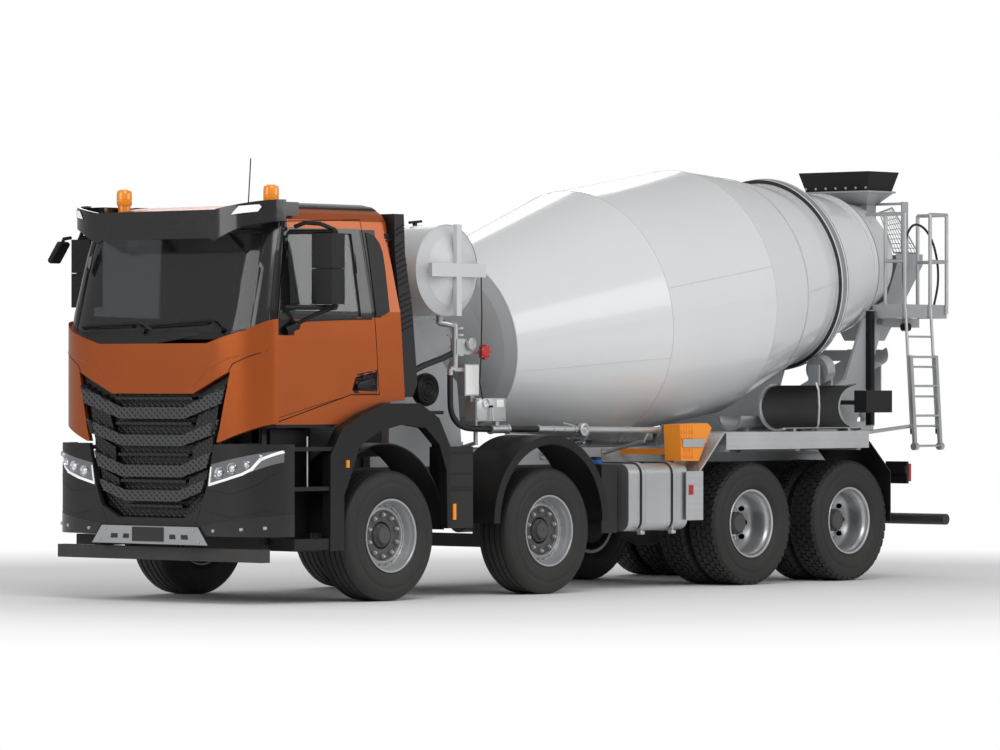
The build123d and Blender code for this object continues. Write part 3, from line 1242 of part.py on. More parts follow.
with BuildPart() as platform:
    slab((platform_x[0], platform_y[0], platform_z - 12.0), (platform_x[1], platform_y[1], platform_z))
    for low, high in (
        ((platform_x[0], platform_y[0]), (platform_x[1], platform_y[0] + 6.0)),
        ((platform_x[0], platform_y[1] - 6.0), (platform_x[1], platform_y[1])),
        ((platform_x[1] - 6.0, platform_y[0]), (platform_x[1], platform_y[1])),
    ):
        slab((low[0], low[1], platform_z - 80.0), (high[0], high[1], platform_z + 45.0))
    for beam_y in (at(7320.0), at(7700.0)):
        slab(
            (pedestal_x + pedestal_wall / 2 + seat_gap, beam_y, 2290.0), (580.0, beam_y + 50.0, platform_z - 5.0)
        )
        slab((570.0, beam_y, 2370.0), (platform_x[1] - 3.0, beam_y + 50.0, platform_z - 5.0))
    corner_y = platform_y[1] - 20.0
    front_y = stile_y[0]
    near_x = platform_x[1] + 12.0
    for height in (rail_z, mid_rail_z):
        bar((near_x, stile_y[1], height), (near_x, corner_y, height), rail_bar)
        bar((near_x, corner_y, height), (580.0, corner_y, height), rail_bar)
    bar((near_x, front_y, rail_z), (470.0, front_y, rail_z), rail_bar)
    bar((near_x, front_y, mid_rail_z), (690.0, front_y, mid_rail_z), rail_bar)
    bar((690.0, front_y, platform_z - 40.0), (690.0, front_y, rail_z), rail_bar)
    bar((near_x, corner_y, platform_z - 40.0), (near_x, corner_y, rail_z), rail_bar)
    bar((580.0, corner_y, platform_z - 40.0), (580.0, corner_y, rail_z), rail_bar)
    for y in stile_y:
        bar((near_x, y, platform_z - 60.0), (near_x, y, rail_z), rail_bar)
        bar((on_ladder(2440.0), y, 2440.0), (on_ladder(1290.0), y, 1290.0), stile_radius)
        for end in ((near_x, y, rail_z), (near_x, corner_y, rail_z), (near_x, corner_y, mid_rail_z)):
            with Locations(end):
                Sphere(rail_bar)
    for rung_z in (2180.0, 1905.0, 1635.0, 1365.0):
        bar((on_ladder(rung_z), stile_y[0], rung_z), (on_ladder(rung_z), stile_y[1], rung_z), 10.0)
    slab(
        (pedestal_x + pedestal_wall / 2 + seat_gap, at(7150.0), 1365.0),
        (pedestal_x + pedestal_wall / 2 + 60.0, at(7205.0), platform_z - 5.0),
    )
    slab((955.0, at(6250.0) + seat_gap, 1262.0), (1005.0, at(6262.0), 1312.0))
    bar((980.0, at(6255.0), 1287.0), (978.0, stile_y[0], 1365.0), 17.0)
    bar((720.0, at(7480.0), 2420.0), (720.0, at(7480.0), 2290.0), 10.0)
    bar((690.0, at(7480.0), 2270.0), (760.0, at(7480.0), 2270.0), 34.0)
save(platform.part, "platform")

ladder_offset = stile_radius + seat_gap
ladder_travel = 500.0
with BuildPart() as ladder_lower:
    for y in stile_y:
        with BuildSketch(Plane.XZ.offset(-(y - 20.0))) as stile:
            with BuildLine():
                Polyline(
                    (on_ladder(2010.0, ladder_offset), 2010.0), (on_ladder(2010.0, ladder_offset + 28.0), 2010.0),
                    (on_ladder(1165.0, ladder_offset + 28.0), 1165.0), (on_ladder(1165.0, ladder_offset), 1165.0),
                    close=True,
                )
            make_face()
        extrude(stile.sketch, amount=-40.0)
        with Locations(Plane(origin=(on_ladder(1180.0, ladder_offset + 14.0), y - 24.0, 1180.0), z_dir=(0, 1, 0))):
            Cylinder(34.0, 48.0, align=(Align.CENTER, Align.CENTER, Align.MIN))
    for rung_z in (1995.0, 1730.0, 1460.0, 1185.0):
        rung_x = on_ladder(rung_z, ladder_offset + 14.0)
        bar((rung_x, stile_y[0], rung_z), (rung_x, stile_y[1], rung_z), 11.0)
save(ladder_lower.part, "ladder_lower")

# Walkways with their inclined steps, chequer panels and side rails
with BuildPart() as walkways:
    for side in (1, -1):
        low_x, high_x = sorted((side * 560.0, side * walkway_half_width))
        slab((low_x, at(4200.0), walkway_top - walkway_plate), (high_x, at(6250.0), walkway_top))
        low_x, high_x = sorted((side * (walkway_half_width - 8.0), side * walkway_half_width))
        slab((low_x, at(4240.0), 1180.0), (high_x, at(6250.0), walkway_top))
        slab((low_x, at(3700.0), 580.0), (high_x, at(3925.0), 1000.0))
        low_x, high_x = sorted((side * 900.0, side * 1100.0))
        slab((low_x, at(6240.0), 1252.0), (high_x, at(6250.0), walkway_top))
        low_x, high_x = sorted((side * 900.0, side * walkway_half_width))
        plate_yz(
            [
                (at(4205.0), walkway_top), (at(3855.0), 985.0), (at(3855.0), 972.0), (at(3866.0), 972.0),
                (at(4216.0), walkway_top - walkway_plate),
            ],
            low_x,
            high_x,
        )
        for leg_y in (4330.0, 5307.0, 6180.0):
            low_x, high_x = sorted((side * 600.0, side * (walkway_half_width - 60.0)))
            slab(
                (low_x, at(leg_y) - 25.0, outrigger_top + seat_gap),
                (high_x, at(leg_y) + 25.0, walkway_top - walkway_plate + 2.0),
            )
save(walkways.part, "walkways")

# Wheel chocks in their holder
with BuildPart() as chocks:
    plate_yz(
        [
            (at(3670.0), 1400.0), (at(4050.0), 1410.0), (at(4100.0), 1370.0), (at(3925.0), 1085.0), (at(3690.0), 1090.0),
        ],
        1020.0,
        1200.0,
    )
    slab((frame_half_width + seat_gap, at(3790.0), 1140.0), (1030.0, at(3830.0), 1190.0))
save(chocks.part, "chocks")

# Hose hanging on the platform's rail
hose_radius = 11.0
hose_route = (
    (862.0, 7300.0, platform_z + 3.0), (862.0, 7265.0, 2630.0), (862.0, 7262.0, 2860.0), (862.0, 7290.0, 3080.0),
    (862.0, 7400.0, 3215.0), (862.0, 7560.0, 3195.0), (862.0, 7695.0, 3080.0), (862.0, 7775.0, 2900.0),
    (862.0, 7795.0, 2720.0), (862.0, 7765.0, 2570.0), (862.0, 7710.0, platform_z + 5.0),
)


def bend_radii(points, share=0.45):
    """Returns for each corner of a route the largest arc that fits its shorter run."""
    radii = []
    for before, corner, after in zip(points, points[1:], points[2:]):
        first = Vector(*corner) - Vector(*before)
        second = Vector(*after) - Vector(*corner)
        half_turn = radians(first.get_angle(second)) / 2
        radii.append(share * min(first.length, second.length) * cos(half_turn) / sin(half_turn))
    return radii


def cord(points, radius):
    """Adds a round cord along a route to the open part and prints its bends and length."""
    radii = bend_radii(points)
    with BuildLine() as path:
        FilletPolyline(*points, radius=radii)
    with BuildSketch(Plane(origin=path.line @ 0, z_dir=path.line % 0)) as section:
        Circle(radius)
    sweep(sections=section.sketch, path=path.line)
    print("cord length", round(path.wires()[0].length), "bends", [round(value) for value in radii])


with BuildPart() as platform_hose:
    cord([(px, at(py), pz) for px, py, pz in hose_route], hose_radius)
save(platform_hose.part, "platform_hose")

# Thick hose from the pipework's valve down to its coupling
suction_radius = 25.0
suction_route = (
    (pipe_x, 1020.0, 1820.0 - seat_gap), (pipe_x, 1020.0, 1640.0), (pipe_x, 1030.0, 1500.0),
    (pipe_x, 1130.0, 1400.0), (pipe_x, 1290.0, 1373.0), (pipe_x, 1513.0 - seat_gap, 1372.0),
)
with BuildPart() as suction_hose:
    cord([(px, at(py), pz) for px, py, pz in suction_route], suction_radius)
save(suction_hose.part, "suction_hose")
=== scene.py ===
"""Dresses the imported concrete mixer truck: finishes, glazing, lamps, wheels, hoses and fittings."""

from __future__ import annotations

import logging
import math
from dataclasses import dataclass
from enum import Enum
from functools import cached_property
from typing import Iterable, Sequence

import bmesh
import bpy
from mathutils import Matrix, Vector
from mathutils.bvhtree import BVHTree

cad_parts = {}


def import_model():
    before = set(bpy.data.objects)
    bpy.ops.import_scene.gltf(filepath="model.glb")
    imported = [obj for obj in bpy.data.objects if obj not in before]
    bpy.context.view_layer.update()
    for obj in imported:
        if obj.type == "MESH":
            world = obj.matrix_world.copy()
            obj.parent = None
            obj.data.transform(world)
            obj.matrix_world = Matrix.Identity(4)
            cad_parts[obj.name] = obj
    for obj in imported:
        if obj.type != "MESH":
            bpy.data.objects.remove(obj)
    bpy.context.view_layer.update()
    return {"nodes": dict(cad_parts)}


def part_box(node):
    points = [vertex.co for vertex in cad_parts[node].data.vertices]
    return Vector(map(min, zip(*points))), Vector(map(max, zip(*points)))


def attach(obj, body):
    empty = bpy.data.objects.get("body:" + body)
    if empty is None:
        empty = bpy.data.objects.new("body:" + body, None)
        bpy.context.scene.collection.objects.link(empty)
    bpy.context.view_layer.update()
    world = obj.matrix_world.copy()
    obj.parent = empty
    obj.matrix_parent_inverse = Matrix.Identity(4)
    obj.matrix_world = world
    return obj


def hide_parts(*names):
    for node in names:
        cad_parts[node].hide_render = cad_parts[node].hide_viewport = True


log = logging.getLogger("mixer_truck")

Point = tuple[float, float, float]
Flat = tuple[float, float]
Shade = tuple[float, float, float, float]
Shape = bmesh.types.BMesh
Piece = bpy.types.Object
Socket = bpy.types.NodeSocket

FRONT_AXLE_Y = -3.2675
AXLE_STATIONS = (0.0, 1.930, 4.617, 5.998)
FRONT_HUB_Z = 0.527
REAR_HUB_Z = 0.535
SIDES = {"left": 1.0, "right": -1.0}
DRUM_TILT = math.radians(8.43)
DRUM_AXIS = Vector((0.0, math.cos(DRUM_TILT), math.sin(DRUM_TILT)))
DRUM_MIDDLE = Vector((0.0, 1.7325, 2.535))

DUST: Shade = (0.23, 0.21, 0.18, 1.0)
BLACK: Shade = (0.006, 0.006, 0.007, 1.0)
# Near black: painted shade for the grille's openings and for all that lies deep in the grille.
PAINTED_HOLE_SHADE: Shade = (0.002, 0.002, 0.002, 1.0)
WHITE: Shade = (1.0, 1.0, 1.0, 1.0)


def at(station: float) -> float:
    """Row Y, in metres, of a place this many millimetres behind the first axle."""
    return FRONT_AXLE_Y + station / 1000.0


def mm(x: float, station: float, z: float) -> Vector:
    """A point from its millimetres: X, the distance behind the first axle, and Z."""
    return Vector((x / 1000.0, at(station), z / 1000.0))


# Finishes


class Nodes:
    """The nodes of one material or of the world."""

    def __init__(self, tree: bpy.types.NodeTree) -> None:
        """Keeps the tree that every node is added to."""
        self.tree = tree

    @cached_property
    def place(self) -> Socket:
        """Object coordinates, so that a pattern stays where it is on the piece."""
        return self.add("TexCoord").outputs["Object"]

    @cached_property
    def parts(self) -> bpy.types.Node:
        """The node whose outputs are a point's X, Y and Z on the piece."""
        return self.add("SeparateXYZ", {"Vector": self.place})

    def add(
        self, kind: str, inputs: dict[str | int, object] | None = None, **settings: object,
    ) -> bpy.types.Node:
        """Adds one node.

        Args:
            kind: The node's type, without its prefix.
            inputs: What each input takes: a socket to link, or a value.
            settings: The node's own settings.

        Returns:
            The node.
        """
        node = self.tree.nodes.new(f"ShaderNode{kind}")
        for name, value in settings.items():
            setattr(node, name, value)
        self.fill(node, inputs or {})
        return node

    def fill(self, node: bpy.types.Node, inputs: dict[str | int, object]) -> None:
        """Links or sets a node's inputs.

        Args:
            node: The node.
            inputs: What each input takes: a socket to link, or a value.
        """
        for key, value in inputs.items():
            if isinstance(value, bpy.types.NodeSocket):
                self.tree.links.new(value, node.inputs[key])
            else:
                node.inputs[key].default_value = value

    def combine(self, how: str, first: Socket, second: Socket | float, clamp: bool = False) -> Socket:
        """One step of arithmetic; a comparison gives 1 where it holds, else 0."""
        return self.add("Math", {0: first, 1: second}, operation=how, use_clamp=clamp).outputs["Value"]

    def within(self, value: Socket, low: float, high: float) -> Socket:
        """1 where a value lies between two limits, else 0."""
        above = self.combine("GREATER_THAN", value, low)
        return self.combine("MULTIPLY", above, self.combine("LESS_THAN", value, high))

    def noise(self, scale: float, detail: float) -> Socket:
        """Noise on the piece, from its waves a metre and its octaves."""
        return self.add("TexNoise", {"Scale": scale, "Detail": detail, "Vector": self.place}).outputs["Fac"]

    def ramp(self, source: Socket, low: Shade, high: Shade, span: Flat = (0.3, 0.7)) -> Socket:
        """A two-colour ramp of a value.

        Args:
            source: The value.
            low: The colour at the span's start.
            high: The colour at its end.
            span: Where the ramp starts and ends.

        Returns:
            The colour.
        """
        node = self.add("ValToRGB", {"Fac": source})
        for stop, position, colour in zip(node.color_ramp.elements, span, (low, high)):
            stop.position = position
            stop.color = colour
        return node.outputs["Color"]

    def mix(self, share: Socket, under: Socket, over: Shade) -> Socket:
        """One colour laid over another, as far as the share says."""
        return self.add("Mix", {0: share, 6: under, 7: over}, data_type="RGBA").outputs[2]

    def lattice(self, rate: float, tilt: float = 45.0) -> Socket:
        """Crossed waves on two diagonals of the piece, as a number from 0 to 1.

        Args:
            rate: Waves a metre.
            tilt: The diagonals' slope in degrees.

        Returns:
            The product of the two waves.
        """
        waves = []
        for turn in (math.radians(tilt), math.radians(-tilt)):
            place = self.add(
                "Mapping", {"Rotation": (0.0, turn, 0.0), "Vector": self.place},
            ).outputs["Vector"]
            wave = self.add(
                "TexWave", {"Scale": rate * 2 * math.pi / 20.0, "Vector": place}, bands_direction="X",
            )
            waves.append(wave.outputs["Fac"])
        return self.combine("MULTIPLY", *waves)

    def bump(self, height: Socket, strength: float, distance: float, invert: bool = False) -> None:
        """Raises the surface by a height, or sinks it where inverted."""
        bump = self.add("Bump", {"Strength": strength, "Distance": distance, "Height": height}, invert=invert)
        self.fill(self.tree.nodes["Principled BSDF"], {"Normal": bump.outputs["Normal"]})


class Wear(Enum):
    """How dirt and age show on a finish."""

    CLEAN = 0.0
    LIGHT = 0.35
    ROAD = 0.8


@dataclass(frozen=True)
class Finish:
    """A surface finish that builds one procedural material."""

    name: str
    colour: tuple[float, float, float]
    roughness: float = 0.5
    metallic: float = 0.0
    coat: float = 0.0
    specular: float = 0.5
    grain: float = 60.0
    mottle: float = 0.08
    bump: float = 0.02
    wear: Wear = Wear.LIGHT
    transmission: float = 0.0
    emission: float = 0.0

    def build(self) -> bpy.types.Material:
        """Makes the material.

        Returns:
            The material with its colour, roughness and bump nodes.
        """
        material = bpy.data.materials.new(self.name)
        material.use_nodes = True
        nodes = Nodes(material.node_tree)
        broad = nodes.noise(1.7, 4.0)
        fine = nodes.noise(self.grain, 2.0)
        shade = nodes.ramp(broad, self.tinted(1.0 - self.mottle), self.tinted(1.0 + self.mottle))
        dirty = nodes.mix(self.dirt(nodes, broad), shade, DUST)
        rough = nodes.add("MapRange", {
            "To Min": max(0.02, self.roughness - 0.06),
            "To Max": min(1.0, self.roughness + 0.1 + 0.2 * self.wear.value),
            "Value": fine,
        })
        shader = nodes.tree.nodes["Principled BSDF"]
        nodes.fill(shader, {
            "Base Color": self.patterned(nodes, dirty),
            "Roughness": rough.outputs["Result"],
            "Metallic": self.metallic,
            "Coat Weight": self.coat,
            "Coat Roughness": 0.06,
            "Specular IOR Level": self.specular,
            "Transmission Weight": self.transmission,
        })
        if self.emission:
            nodes.fill(shader, {"Emission Color": (*self.colour, 1.0), "Emission Strength": self.emission})
        self.relief(nodes, fine)
        return material

    def tinted(self, gain: float) -> Shade:
        """The finish's colour made lighter or darker."""
        return (*(min(1.0, c * gain) for c in self.colour), 1.0)

    def dirt(self, nodes: Nodes, broad: Socket) -> Socket:
        """Where road dust lies: more of it low down, broken up by the broad noise.

        Args:
            nodes: The material's nodes.
            broad: The broad noise.

        Returns:
            A number from 0, clean, to 1, covered.
        """
        low = nodes.add("MapRange", {
            "From Min": 1.5,
            "From Max": 0.2,
            "To Max": 0.3 * self.wear.value,
            "Value": nodes.parts.outputs["Z"],
        })
        return nodes.combine("MULTIPLY", low.outputs["Result"], broad, clamp=True)

    def patterned(self, nodes: Nodes, colour: Socket) -> Socket:
        """The colour after the finish's own pattern, which is none here."""
        return colour

    def relief(self, nodes: Nodes, fine: Socket) -> None:
        """Adds a light surface grain."""
        if self.bump > 0.0:
            nodes.bump(fine, self.bump, 0.002)


@dataclass(frozen=True)
class Chequered(Finish):
    """Aluminium chequer plate: raised slanted bars in two directions."""

    bars_per_metre: float = 26.0

    def relief(self, nodes: Nodes, fine: Socket) -> None:
        """Adds the raised bars."""
        nodes.bump(nodes.lattice(self.bars_per_metre), 0.7, 0.003)


@dataclass(frozen=True)
class CabPaint(Finish):
    """Cab paint with black window surrounds, a black lower edge and a black wheel arch."""

    black: tuple[Shade, ...] = (
        (-1500.0, -1030.0, 2130.0, 3060.0),
        (-1500.0, -1235.0, 2020.0, 2200.0),
        (-1500.0, -20.0, 2280.0, 2985.0),
        (-2000.0, 2000.0, 1000.0, 1425.0),
    )
    arch_radius: float = 0.76
    arch_z: float = 0.56

    def patterned(self, nodes: Nodes, colour: Socket) -> Socket:
        """Blackens the stated stretches along the cab and the wheel arch.

        Args:
            nodes: The material's nodes.
            colour: The paint's colour.

        Returns:
            The colour with the black in it.
        """
        y, z = nodes.parts.outputs["Y"], nodes.parts.outputs["Z"]
        for start, end, low, high in self.black:
            along = nodes.within(y, at(start), at(end))
            share = nodes.combine("MULTIPLY", along, nodes.within(z, low / 1000.0, high / 1000.0))
            colour = nodes.mix(share, colour, BLACK)
        flat = nodes.add("CombineXYZ", {"Y": y, "Z": z}).outputs["Vector"]
        reach = nodes.add("VectorMath", {0: flat, 1: (0.0, at(0.0), self.arch_z)}, operation="DISTANCE")
        near = nodes.combine("LESS_THAN", reach.outputs["Value"], self.arch_radius)
        return nodes.mix(near, colour, BLACK)


@dataclass(frozen=True)
class LensPaint(Finish):
    """Amber lenses, with red ones at the rear."""

    def patterned(self, nodes: Nodes, colour: Socket) -> Socket:
        """Reddens the lenses behind the rear axles."""
        rear = nodes.combine("GREATER_THAN", nodes.parts.outputs["Y"], at(6000.0))
        return nodes.mix(rear, colour, (0.4, 0.01, 0.008, 1.0))


@dataclass(frozen=True)
class MeshPattern(Finish):
    """Moulded plastic with rows of small diamond openings; painted shade fills the openings and all that lies
    deep in the grille.
    """

    openings_per_metre: float = 26.0
    tilt: float = 52.0
    # The station past which all of the grille gets painted shade.
    depth: float = -1467.0

    def patterned(self, nodes: Nodes, colour: Socket) -> Socket:
        """Paints shade into the diamond openings, and onto all that lies deep in the grille.

        Args:
            nodes: The material's nodes.
            colour: The plastic's colour.

        Returns:
            The colour with painted shade in the openings and deep in the grille.
        """
        lattice = nodes.lattice(self.openings_per_metre, self.tilt)
        # Painted shade: the openings, and everything past the depth station, turn near black.
        meshed = nodes.mix(nodes.combine("GREATER_THAN", lattice, 0.3), colour, PAINTED_HOLE_SHADE)
        deep = nodes.combine("GREATER_THAN", nodes.parts.outputs["Y"], at(self.depth))
        return nodes.mix(deep, meshed, PAINTED_HOLE_SHADE)

    def relief(self, nodes: Nodes, fine: Socket) -> None:
        """Sinks the openings."""
        nodes.bump(nodes.lattice(self.openings_per_metre, self.tilt), 0.9, 0.004, invert=True)


@dataclass(frozen=True)
class DrumPaint(Finish):
    """Drum paint: light shell, greyer head and a bare ring, told apart along the drum's axis."""

    bands: tuple[tuple[float, float, Shade], ...] = (
        (-9.0, -2.945, (0.47, 0.48, 0.49, 1.0)),
        (1.36, 1.42, (0.27, 0.27, 0.275, 1.0)),
    )

    def patterned(self, nodes: Nodes, colour: Socket) -> Socket:
        """Darkens the dished head and the ring by their station on the axis.

        Args:
            nodes: The material's nodes.
            colour: The shell's colour.

        Returns:
            The colour with the head and ring in it.
        """
        run = nodes.add("VectorMath", {0: nodes.place, 1: tuple(DRUM_AXIS)}, operation="DOT_PRODUCT")
        station = nodes.combine("SUBTRACT", run.outputs["Value"], DRUM_MIDDLE.dot(DRUM_AXIS))
        for start, end, shade in self.bands:
            colour = nodes.mix(nodes.within(station, start, end), colour, shade)
        return colour


class Palette:
    """Every finish on the truck, built once and looked up by name."""

    finishes = (
        CabPaint(
            "orange_metallic", (0.44, 0.088, 0.008), 0.26, 0.65, coat=0.45, grain=220.0, mottle=0.03,
            bump=0.0,
        ),
        Finish(
            "nose_orange", (0.44, 0.088, 0.008), 0.26, 0.65, coat=0.45, grain=220.0, mottle=0.03, bump=0.0,
        ),
        DrumPaint(
            "drum_paint", (0.76, 0.775, 0.785), 0.2, coat=0.4, grain=3.0, mottle=0.01, bump=0.0,
            wear=Wear.CLEAN,
        ),
        Finish("tank_paint", (0.62, 0.635, 0.645), 0.32, coat=0.2, mottle=0.02, bump=0.005),
        Finish("frame_paint", (0.42, 0.44, 0.455), 0.42, grain=90.0, mottle=0.06, bump=0.02),
        Finish("chassis_paint", (0.018, 0.018, 0.02), 0.45, bump=0.03, wear=Wear.ROAD),
        Finish("pedestal_paint", (0.42, 0.44, 0.455), 0.45, bump=0.03),
        Finish("rim_paint", (0.46, 0.47, 0.48), 0.32, 0.6, bump=0.01, wear=Wear.LIGHT),
        Finish("rim_centre_paint", (0.07, 0.072, 0.075), 0.4, 0.3, bump=0.02, wear=Wear.ROAD),
        Finish("brushed_aluminium", (0.62, 0.63, 0.64), 0.3, 0.9, grain=160.0, bump=0.02),
        Finish("bright_steel", (0.55, 0.56, 0.57), 0.34, 0.8, grain=120.0, bump=0.02),
        Finish("silver_plastic", (0.4, 0.41, 0.42), 0.38, 0.35, bump=0.01),
        Chequered("chequer_plate", (0.6, 0.61, 0.62), 0.36, 0.75),
        Finish("cast_metal", (0.09, 0.09, 0.095), 0.6, 0.4, bump=0.15, wear=Wear.ROAD),
        Finish("black_plastic", (0.005, 0.005, 0.006), 0.36, specular=0.32, grain=500.0, bump=0.05),
        Finish("grey_plastic", (0.011, 0.0115, 0.0125), 0.38, specular=0.36, grain=600.0, bump=0.08),
        Finish("gloss_black", (0.008, 0.008, 0.009), 0.12, coat=0.5, bump=0.0),
        Finish("tyre_rubber", (0.009, 0.009, 0.0095), 0.55, grain=240.0, bump=0.06, wear=Wear.LIGHT),
        Finish("hose_rubber", (0.012, 0.012, 0.013), 0.5, grain=300.0, bump=0.04),
        Finish(
            "dark_glass", (0.17, 0.175, 0.18), 0.0, grain=1.0, mottle=0.0, bump=0.0, wear=Wear.CLEAN,
            transmission=0.94,
        ),
        Finish(
            "side_glass", (0.72, 0.74, 0.75), 0.0, grain=1.0, mottle=0.0, bump=0.0, wear=Wear.CLEAN,
            transmission=0.96,
        ),
        Finish("lamp_housing", (0.3, 0.31, 0.33), 0.12, 0.85, coat=1.0, bump=0.0, wear=Wear.CLEAN),
        MeshPattern("grille_mesh", (0.05, 0.052, 0.056), 0.36, bump=0.0),
        Finish("mirror_glass", (0.7, 0.72, 0.74), 0.03, 1.0, bump=0.0, wear=Wear.CLEAN),
        Finish("lamp_clear", (0.75, 0.77, 0.8), 0.06, 0.6, coat=0.6, bump=0.0, wear=Wear.CLEAN),
        Finish("lamp_white", (0.95, 0.95, 0.95), 0.25, emission=0.15, bump=0.0, wear=Wear.CLEAN),
        LensPaint("lamp_lens", (0.95, 0.3, 0.01), 0.12, coat=0.6, bump=0.0, wear=Wear.CLEAN),
        # Its faint glow suits the beacon lenses; on the amber reflectors, which are no lamps, it is a painted
        # glow.
        Finish("amber_lens", (0.95, 0.3, 0.01), 0.12, coat=0.6, emission=0.12, bump=0.0, wear=Wear.CLEAN),
        Finish("red_lens", (0.5, 0.012, 0.012), 0.12, coat=0.6, bump=0.0, wear=Wear.CLEAN),
        Finish("red_paint", (0.5, 0.02, 0.015), 0.3, coat=0.3, bump=0.01, wear=Wear.CLEAN),
        Finish("chock_orange", (0.95, 0.3, 0.02), 0.4, bump=0.02, wear=Wear.CLEAN),
        Finish("blue_cap", (0.02, 0.12, 0.4), 0.35, bump=0.01, wear=Wear.CLEAN),
        Finish("white_face", (0.85, 0.85, 0.84), 0.4, bump=0.0, wear=Wear.CLEAN),
        Finish("seat_cloth", (0.012, 0.012, 0.013), 0.85, grain=900.0, bump=0.04, wear=Wear.CLEAN),
        Finish("guard_rubber", (0.01, 0.01, 0.01), 0.7, grain=60.0, bump=0.2),
    )

    def __init__(self) -> None:
        """Builds every material."""
        self.made = {finish.name: finish.build() for finish in self.finishes}

    def paint(self, piece: Piece, *names: str) -> None:
        """Gives a piece its materials in place of those it has.

        Args:
            piece: The object.
            names: The finishes, one a material slot.
        """
        piece.data.materials.clear()
        for name in names:
            piece.data.materials.append(self.made[name])


# Modelling helpers


def finished(mesh: Shape, name: str, smooth: float = 35.0) -> Piece:
    """Turns a bmesh into an object in the scene, at the origin.

    Args:
        mesh: The shape, which is freed.
        name: The object's name.
        smooth: The angle, in degrees, past which an edge stays sharp.

    Returns:
        The object.
    """
    bmesh.ops.remove_doubles(mesh, verts=mesh.verts, dist=0.00005)
    bmesh.ops.recalc_face_normals(mesh, faces=mesh.faces)
    for face in mesh.faces:
        face.smooth = True
    for edge in mesh.edges:
        if len(edge.link_faces) == 2 and edge.calc_face_angle(0.0) > math.radians(smooth):
            edge.smooth = False
    data = bpy.data.meshes.new(name)
    mesh.to_mesh(data)
    mesh.free()
    piece = bpy.data.objects.new(name, data)
    bpy.context.scene.collection.objects.link(piece)
    return piece


def rounded(mesh: Shape, verts: Iterable[bmesh.types.BMVert], offset: float, segments: int = 2) -> None:
    """Rounds every edge that meets the given vertices.

    Args:
        mesh: The bmesh.
        verts: The vertices.
        offset: The round's size.
        segments: The number of its facets.
    """
    edges = {edge for vert in verts for edge in vert.link_edges}
    bmesh.ops.bevel(
        mesh, geom=list(edges), offset=offset, offset_type="OFFSET", affect="EDGES", segments=segments,
        profile=0.5, material=-1,
    )


def extruded(mesh: Shape, faces: Sequence[bmesh.types.BMFace]) -> list[bmesh.types.BMVert]:
    """Extrudes faces on the spot, and gives the new vertices."""
    grown = bmesh.ops.extrude_face_region(mesh, geom=faces)
    return [item for item in grown["geom"] if isinstance(item, bmesh.types.BMVert)]


def block(mesh: Shape, low: Sequence[float], high: Sequence[float], bevel: float = 0.004) -> None:
    """Adds a box with rounded edges to a bmesh.

    Args:
        mesh: The bmesh.
        low: The lowest corner.
        high: The highest corner.
        bevel: The edge's round, 0 for none.
    """
    low, high = Vector(low), Vector(high)
    size = high - low
    place = Matrix.Translation((low + high) / 2) @ Matrix.Diagonal((*size, 1.0))
    made = bmesh.ops.create_cube(mesh, size=1.0, matrix=place)
    if bevel > 0.0:
        rounded(mesh, made["verts"], min(bevel, 0.45 * min(size)))


def rod(
    mesh: Shape, start: Sequence[float], end: Sequence[float], radius: float, sides: int = 20,
    end_radius: float | None = None,
) -> None:
    """Adds a round bar or cone between two points.

    Args:
        mesh: The bmesh.
        start: One end's middle.
        end: The other end's middle.
        radius: The bar's radius.
        sides: The number of its sides.
        end_radius: The radius at its end, where that differs.
    """
    start, end = Vector(start), Vector(end)
    run = end - start
    turn = run.to_track_quat("Z", "Y").to_matrix().to_4x4()
    bmesh.ops.create_cone(
        mesh, cap_ends=True, segments=sides, radius1=radius,
        radius2=radius if end_radius is None else end_radius,
        depth=run.length, matrix=Matrix.Translation((start + end) / 2) @ turn,
    )


def ball(mesh: Shape, centre: Sequence[float], radius: float, scale: Sequence[float] = (1, 1, 1)) -> None:
    """Adds a ball, squashed by scale."""
    place = Matrix.Translation(Vector(centre)) @ Matrix.Diagonal((*scale, 1.0))
    bmesh.ops.create_uvsphere(mesh, u_segments=20, v_segments=12, radius=radius, matrix=place)


def turned(
    mesh: Shape, profile: Iterable[Flat], centre: Sequence[float], axis: Sequence[float],
    steps: int = 48, closed: bool = False,
) -> None:
    """Spins a profile of (place along the axis, radius) about an axis.

    Args:
        mesh: The bmesh.
        profile: The profile's points.
        centre: The point that the places along the axis start from.
        axis: The axis's direction.
        steps: The number of steps round.
        closed: Whether the last point joins the first.
    """
    axis = Vector(axis).normalized()
    side = axis.orthogonal().normalized()
    centre = Vector(centre)
    verts = [mesh.verts.new(centre + axis * run + side * radius) for run, radius in profile]
    edges = [mesh.edges.new(pair) for pair in zip(verts, verts[1:])]
    if closed:
        edges.append(mesh.edges.new((verts[-1], verts[0])))
    bmesh.ops.spin(
        mesh, geom=verts + edges, cent=centre, axis=axis, angle=2 * math.pi, steps=steps, use_merge=True,
    )


def plate(
    mesh: Shape, outline: Sequence[Sequence[float]], depth: Sequence[float], bevel: float = 0.0,
) -> None:
    """Adds a flat plate: a closed outline of points, extruded by a vector.

    Args:
        mesh: The bmesh.
        outline: The outline's points.
        depth: The vector that it is extruded by.
        bevel: The round of its edges.
    """
    verts = [mesh.verts.new(Vector(point)) for point in outline]
    face = mesh.faces.new(verts)
    grown = extruded(mesh, [face])
    bmesh.ops.translate(mesh, verts=grown, vec=Vector(depth))
    if bevel > 0.0:
        rounded(mesh, verts + grown, bevel)


def tube(
    mesh: Shape, route: Sequence[Sequence[float]], radius: float, sides: int = 12,
) -> None:
    """Adds a round bar along a route, with round joints between its runs.

    Args:
        mesh: The bmesh.
        route: The route's points.
        radius: The bar's radius.
        sides: The number of its sides.
    """
    for start, end in zip(route, route[1:]):
        rod(mesh, start, end, radius, sides)
    for joint in route[1:-1]:
        ball(mesh, joint, radius)


